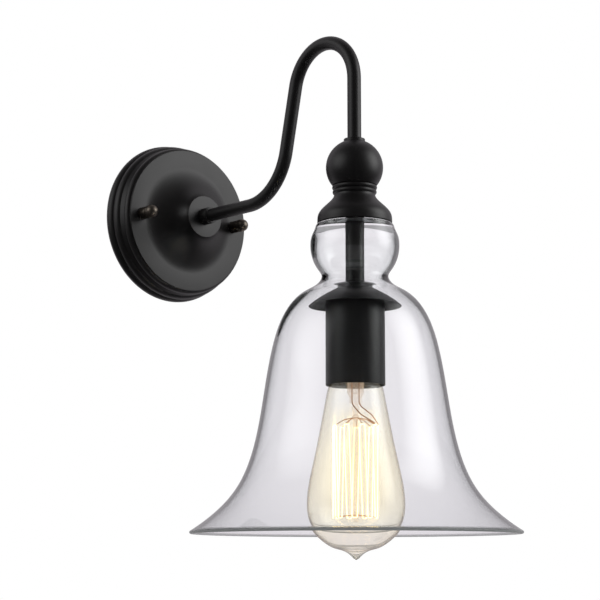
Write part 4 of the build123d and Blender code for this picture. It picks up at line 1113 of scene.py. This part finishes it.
class SCONCE_OT_bulb(Operator):
    """Blow the bulb's envelope and make its stem and screw base"""
    bl_idname = "sconce.bulb"
    bl_label = "Bulb"

    def execute(self, context):
        bulb = context.scene.sconce_bulb
        rim = base("bulb_base_shell")
        tip = base("bulb_envelope")
        drop = rim - tip
        outer = [(bulb.sleeve, rim)] + [
            (out * bulb.radius, rim - down * drop) for out, down in BULB_OUTLINE_SHARES]
        nib = [(out * bulb.radius, rim - down * drop) for out, down in BULB_TIP_SHARES]
        inner = inset(outer + nib[:1], [bulb.wall] * (len(outer) + 1))
        sleeve_top = top("bulb_envelope")
        outside = flowing(outer + nib[:-1], 9)
        inside = flowing([(0.0, tip + 1.6 * bulb.wall)] + inner[:0:-1]
                         + [(bulb.sleeve - bulb.wall, rim)], 9)
        glass = turned("bulb_glass_envelope", [(bulb.sleeve, sleeve_top)] + outside + [nib[-1]]
                       + inside + [(bulb.sleeve - bulb.wall, sleeve_top)],
                       on_stack, LARGE_TURNS, BLOWN_SHARP)
        dress(glass, "envelope_glass", "bulb", "bulb_glass", "bulb_envelope")

        # flared stem, pinched flat round the leads
        foot, head, mouth = span("bulb_stem")
        shank, wall = 5.65 * MM, 0.9 * MM
        flare = flowing([(mouth, head), (shank + 0.9 * MM, head - 3.4 * MM),
                         (shank, head - 6.0 * MM)], 10, (-1, -1), (0, -1))
        hollow = [(radius - wall, height) for radius, height in flare[::-1]]
        closing = foot + 5.6 * MM
        outline = (
            flare + [(shank, closing + rise * MM) for rise in (4.0, 2.0, 0.0, -1.4, -3.0, -5.6)]
            + [(0.0, foot), (0.0, closing + 1.0 * MM), (shank / 2, closing + 1.4 * MM),
               (shank - wall, closing + 3.0 * MM)] + hollow)

        def pinch(radius, turn, height):
            share = min(1.0, max(0.0, (closing + 2.0 * MM - height) / (4.6 * MM)))
            share = share * share * (3 - 2 * share)
            wide, thin = abs(math.cos(turn)) / (4.8 * MM), abs(math.sin(turn)) / (1.7 * MM)
            flat = (wide ** 3 + thin ** 3) ** (-1 / 3)
            return radius * (1 - share) + radius / shank * flat * share

        stem = turned("bulb_glass_stem", outline, on_stack, SMALL_TURNS, BLOWN_SHARP, pinch)
        dress(stem, "stem_glass", "bulb", "bulb_glass", "bulb_stem")

        # screw base with its rolled thread
        rim, high, crest = span("bulb_base_shell")
        root = crest - 0.7 * MM
        start, runout = rim + 4.0 * MM, 2 * MM

        def thread(radius, turn, height):
            if radius < root - 0.1 * MM or not start <= height <= high:
                return radius
            ease = min(1.0, (height - start) / runout, (high - height) / runout)
            wave = 0.5 + 0.5 * math.cos(2 * math.pi * (height / bulb.pitch) - turn)
            return root + (crest - root) * wave * ease

        shell = turned("bulb_base_rolled", [
            (crest - 0.3 * MM, sleeve_top), (crest - 0.3 * MM, rim), (crest, rim + 0.15 * MM),
            (crest, start - 0.8 * MM), (crest - 0.2 * MM, start - 0.3 * MM)]
            + [(root, float(row)) for row in np.linspace(start, high, 61)]
            + [(root - 0.6 * MM, high), (root - 0.6 * MM, high - 0.3 * MM),
               (root - 0.3 * MM, high - 0.3 * MM), (root - 0.3 * MM, sleeve_top + 0.3 * MM)],
            on_stack, MIDDLE_TURNS, WIRE_SHARP, thread)
        dress(shell, "nickel_base", "bulb", "nickel", "bulb_base_shell")

        low, high, radius = span("bulb_base_insulator")
        button = across("bulb_base_contact")
        insulator = turned("bulb_base_glass", corners([
            (0.0, low), (radius, low), (radius - 1.2 * MM, low + 1.6 * MM, 1.0 * MM),
            (button + 0.3 * MM, high, 0.3 * MM), (0.0, high)]), on_stack, MIDDLE_TURNS)
        dress(insulator, "black_insulator", "bulb", "black_glass", "bulb_base_insulator")
        low, high, button = span("bulb_base_contact")
        contact = turned("bulb_base_button", arc_through(
            (0.0, high), (button * 0.6, low + (high - low) * 0.72), (button, low), 10)
            + [(0.0, low)], on_stack, SMALL_TURNS)
        dress(contact, "nickel_base", "bulb", "nickel", "bulb_base_contact")
        return {"FINISHED"}


class SCONCE_OT_filament(Operator):
    """String the caged filament on its rod, spiders and leads"""
    bl_idname = "sconce.filament"
    bl_label = "Caged filament"

    def execute(self, context):
        bulb = context.scene.sconce_bulb
        upper = base("bulb_base_shell") - bulb.cage_drop
        lower = upper - bulb.cage_height
        first = math.radians(325)
        step = 2 * math.pi / bulb.hooks
        strands = cage_pattern("lit_filament").run(
            "filament_cage_wire", Hooks=bulb.hooks, Cage=bulb.cage, Upper=upper, Lower=lower,
            Strand=bulb.strand, First=first, Reach=REACH, Bend=0.8 * MM, Loop=0.6)
        dress(strands, "lit_filament", "bulb", "tungsten", "filament")

        # rod with its bead
        low, bead = base("filament_rod"), across("filament_rod")
        rod = 1.6 * MM
        foot = base("bulb_stem")
        bead_level = foot - 0.6 * MM - bead
        cut = math.degrees(math.acos(rod / bead))
        column = turned("filament_glass_rod", [(0.0, low)] + arc((0.0, low + rod), rod, -60, 0, 6)
                        + arc((0.0, bead_level), bead, -cut, cut, 20)
                        + [(rod, foot), (0.0, foot)], on_stack, 40, BLOWN_SHARP)
        dress(column, "stem_glass", "bulb", "bulb_glass", "filament_rod")

        spider = ring_pattern("copper_lead")
        reach = bulb.cage - bulb.strand - 0.1 * MM
        knob = 2.4 * MM
        for node, level, count, start, hub in (
                ("upper_supports", upper, bulb.hooks, first, top("upper_supports") - knob),
                ("lower_supports", lower, bulb.hooks - 1, first + step / 2,
                 base("lower_supports") + knob)):
            side = 1 if hub > level else -1
            wire = tube_mesh(f"{node}_wire", soft_route([
                (1.0 * MM, 0.0, hub), (0.55 * reach, 0.0, hub - (hub - level) * 0.25),
                (reach - 0.6 * MM, 0.0, level + side * 0.5 * MM),
                (reach, 0.0, level)], 4.0 * MM, 5), 0.25 * MM, 8)
            spokes = spider.run(f"{node}_spokes", wire.data, Count=count, First=start, Step=step,
                                Reach=REACH)
            bpy.data.objects.remove(wire)
            bead = turned(f"{node}_bead", [(0.0, hub - 2.2 * MM)]
                          + arc((0.0, hub), knob, -66, 66, 16) + [(0.0, hub + 2.2 * MM)],
                          on_stack, 32, BLOWN_SHARP)
            dress(spokes, "copper_lead", "bulb", "copper_wire", node)
            dress(bead, "stem_glass", "bulb", "bulb_glass")
        for name, side, hook, nodes in (("bulb_lead_right", 1, 0, ("lead_wires",)),
                                        ("bulb_lead_left", -1, bulb.hooks - 1, ())):
            end_x, end_y = on_stack(bulb.cage, first + hook * step, upper)[:2]
            start = side * 3.2 * MM
            lead = soft_route([
                (start, -REACH, top("lead_wires")), (start, -REACH, foot - 0.4 * MM),
                (end_x / 2 + side * 3.0 * MM, -REACH - 6.0 * MM, (foot + upper) / 2),
                (end_x, end_y, upper + 1.0 * MM)], 6.0 * MM)
            wire = tube_mesh(name, lead, 0.4 * MM, 10)
            dress(wire, "copper_lead", "bulb", "copper_wire", *nodes)
        return {"FINISHED"}


class SCONCE_OT_hardware(Operator):
    """Finish the crossbar, studs, nuts, terminal block, lampholder and leads"""
    bl_idname = "sconce.hardware"
    bl_label = "Hidden hardware"

    def execute(self, context):
        for node, finish, slot, ease in (
                ("crossbar", "zinc_plate", "zinc", 0.2),
                ("studs", "zinc_plate", "zinc", 0.0),
                ("stud_lock_nuts", "zinc_plate", "zinc", 0.2),
                ("ground_screw", "green_ground", "green_zinc", 0.15),
                ("arm_nipple", "zinc_plate", "zinc", 0.0),
                ("lock_washer", "zinc_plate", "zinc", 0.15),
                ("lock_nut", "zinc_plate", "zinc", 0.25),
                ("terminal_block", "white_block", "white_plastic", 0.25),
                ("block_screws", "yellow_brass", "brass", 0.0),
                ("stem_nipple", "zinc_plate", "zinc", 0.0),
                ("disc_lock_nut", "zinc_plate", "zinc", 0.2),
                ("socket_lock_nut", "zinc_plate", "zinc", 0.2),
                ("socket_nipple", "zinc_plate", "zinc", 0.0),
                ("lampholder_cap", "phenolic_resin", "phenolic", 0.3),
                ("lampholder_body", "phenolic_resin", "phenolic", 0.2),
                ("screw_shell", "yellow_brass", "brass", 0.0),
                ("centre_contact", "yellow_brass", "brass", 0.0),
                ("terminal_screws", "yellow_brass", "brass", 0.0),
                ("live_wire", "brown_sleeve", "live_insulation", 0.0),
                ("neutral_wire", "grey_sleeve", "neutral_insulation", 0.0)):
            piece = eased(f"{node}_finished", node, ease * MM)
            dress(piece, finish, "fixture", slot, node)
        return {"FINISHED"}


MIDDLE = Vector((0.0, -0.13, -0.08))
CAMERA_PLACE = (-0.8044, -1.1022, -0.263)
CAMERA_WAY = Vector((0.6400, 0.7539, 0.1488))


def aimed(name, data, place, way):
    """A lamp or a camera at a place, looking a way."""
    holder = add_object(name, data)
    holder.location = place
    holder.rotation_euler = way.to_track_quat("-Z", "Y").to_euler()
    return holder


def lamp(name, place, wide, high, power):
    """A soft box that the camera doesn't see, brightest in its middle."""
    light = bpy.data.lights.new(name, "AREA")
    light.shape = "RECTANGLE"
    light.size, light.size_y = wide, high
    light.energy = power
    light.use_nodes = True
    made = Tree(light.node_tree)
    spot = made.add("ShaderNodeNewGeometry", output="Parametric")
    fall = (math.pi / 2) ** 2
    for way in "XY":
        side = made.add("ShaderNodeSeparateXYZ", output=way, Vector=spot)
        fall = side.math("SINE", side * math.pi) * fall
    connect(made.tree, made.tree.nodes["Emission"].inputs["Strength"], fall)
    holder = aimed(name, light, place, MIDDLE - Vector(place))
    holder.visible_camera = False
    return holder


# Rays that have passed fewer walls than the first, or more than the second
FEW_WALLS, MANY_WALLS = 2.5, 5.5


def light_round(made, stage):
    """Strength of the light round the set, for each kind of ray."""
    def path(output):
        return made.add("ShaderNodeLightPath", output=output)

    seen = path("Is Camera Ray")
    glossy = path("Glossy Depth")
    glossy = glossy.math("MINIMUM", glossy, 1.0)
    through = path("Is Transmission Ray")
    walls = path("Transmission Depth")
    inner = through * glossy * walls.math("LESS_THAN", walls, FEW_WALLS)
    glossy = glossy * (1.0 - inner)
    through = through * (1.0 - glossy) * (1.0 - inner)
    way = made.add("ShaderNodeTexCoord", output="Generated")
    flat_x, flat_y, up = (
        made.add("ShaderNodeSeparateXYZ", output=axis, Vector=way) for axis in "XYZ")
    # white panels with darker gaps, as seen through the glass
    turn = flat_x.math("ARCTAN2", flat_x, flat_y)
    gap = turn.math("COSINE", turn * stage.panels) * -0.5 + 0.5
    panels = 1.0 - gap.math("POWER", gap, 6.0) * 0.35
    # a sweep behind the set, dark towards the camera
    behind = flat_x * CAMERA_WAY.x + flat_y * CAMERA_WAY.y + up * CAMERA_WAY.z
    sweep = soft_step(made, behind, -0.05, 0.75, stage.room, stage.sweep)
    passed = through * panels * stage.passed * walls.math("POWER", 1.04, walls)
    passed = passed + inner * stage.inner * sweep
    passed = passed + glossy * walls.math("GREATER_THAN", walls, MANY_WALLS) * stage.deep
    rest = (1.0 - seen) * (1.0 - glossy) * (1.0 - through) * (1.0 - inner) * stage.world
    return seen, seen + (1.0 - seen) * (glossy * sweep + passed) + rest


class SCONCE_OT_stage(Operator):
    """Set the pale floor, the surrounding light, the soft boxes and the camera"""
    bl_idname = "sconce.stage"
    bl_label = "Stage and camera"

    def execute(self, context):
        stage = context.scene.sconce_stage
        bm = bmesh.new()
        bmesh.ops.create_grid(bm, x_segments=1, y_segments=1, size=2.5)
        bmesh.ops.translate(bm, vec=(0.0, MIDDLE.y, -stage.floor), verts=bm.verts)
        floor = keep_mesh("pale_floor", bm)
        ground = Finish("pale_floor_paint")
        soft = ground.noise(3.0)
        ground.surface(Base_Color=mix_tones(ground, soft, (0.80, 0.80, 0.80), (0.86, 0.86, 0.86)),
                       Roughness=0.9)
        floor.data.materials.append(ground.material)
        floor.visible_glossy = False

        lamp("left_box", (-1.70, 0.45, 0.70), 2.4, 2.0, 6.8)
        lamp("right_box", (1.17, -1.44, 0.62), 1.8, 2.3, 13.5)
        fill = lamp("top_fill", (0.0, -0.6, 1.6), 1.2, 1.2, 10.0)
        fill.visible_glossy = fill.visible_transmission = False

        world = bpy.data.worlds.new("studio")
        context.scene.world = world
        world.use_nodes = True
        made = Tree(world.node_tree)
        made.tree.nodes.clear()
        seen, strength = light_round(made, stage)
        light = made.add("ShaderNodeBackground", Strength=strength,
                         Color=mix_tones(made, seen, stage.tone, (1.0, 1.0, 1.0)))
        made.add("ShaderNodeOutputWorld", Surface=light)

        camera = bpy.data.cameras.new("photo_view")
        camera.lens = stage.lens
        camera.sensor_width = 36.0
        camera.clip_start, camera.clip_end = 0.05, 50.0
        holder = aimed("photo_view", camera, CAMERA_PLACE, CAMERA_WAY)
        context.scene.camera = holder
        context.scene.view_settings.view_transform = "Standard"
        return {"FINISHED"}


STEPS = (SCONCE_OT_finishes, SCONCE_OT_plate, SCONCE_OT_hub, SCONCE_OT_arm,
         SCONCE_OT_turned_stack, SCONCE_OT_shade, SCONCE_OT_hanger, SCONCE_OT_cap_nuts,
         SCONCE_OT_bulb, SCONCE_OT_filament, SCONCE_OT_hardware, SCONCE_OT_stage)
GROUPS = (("sconce_plate", SconcePlate), ("sconce_arm", SconceArm), ("sconce_shade", SconceShade),
          ("sconce_bulb", SconceBulb), ("sconce_finish", SconceFinish),
          ("sconce_stage", SconceStage))


class SCONCE_PT_panel(Panel):
    """Sizes, colours and steps of the sconce"""
    bl_idname = "SCONCE_PT_panel"
    bl_label = "Wall sconce"
    bl_space_type = "VIEW_3D"
    bl_region_type = "UI"
    bl_category = "Sconce"

    def draw(self, context):
        for key, group in GROUPS:
            box = self.layout.box()
            box.label(text=group.__doc__)
            for name in group.__annotations__:
                box.prop(getattr(context.scene, key), name)
        for step in STEPS:
            self.layout.operator(step.bl_idname)


def register():
    for key, group in GROUPS:
        bpy.utils.register_class(group)
        setattr(bpy.types.Scene, key, PointerProperty(type=group))
    for step in (*STEPS, SCONCE_PT_panel):
        bpy.utils.register_class(step)


def unregister():
    for step in (SCONCE_PT_panel, *reversed(STEPS)):
        bpy.utils.unregister_class(step)
    for key, group in reversed(GROUPS):
        delattr(bpy.types.Scene, key)
        bpy.utils.unregister_class(group)


def main():
    register()
    for step in STEPS:
        getattr(bpy.ops.sconce, step.bl_idname.partition(".")[2])()


if __name__ == "__main__":
    main()
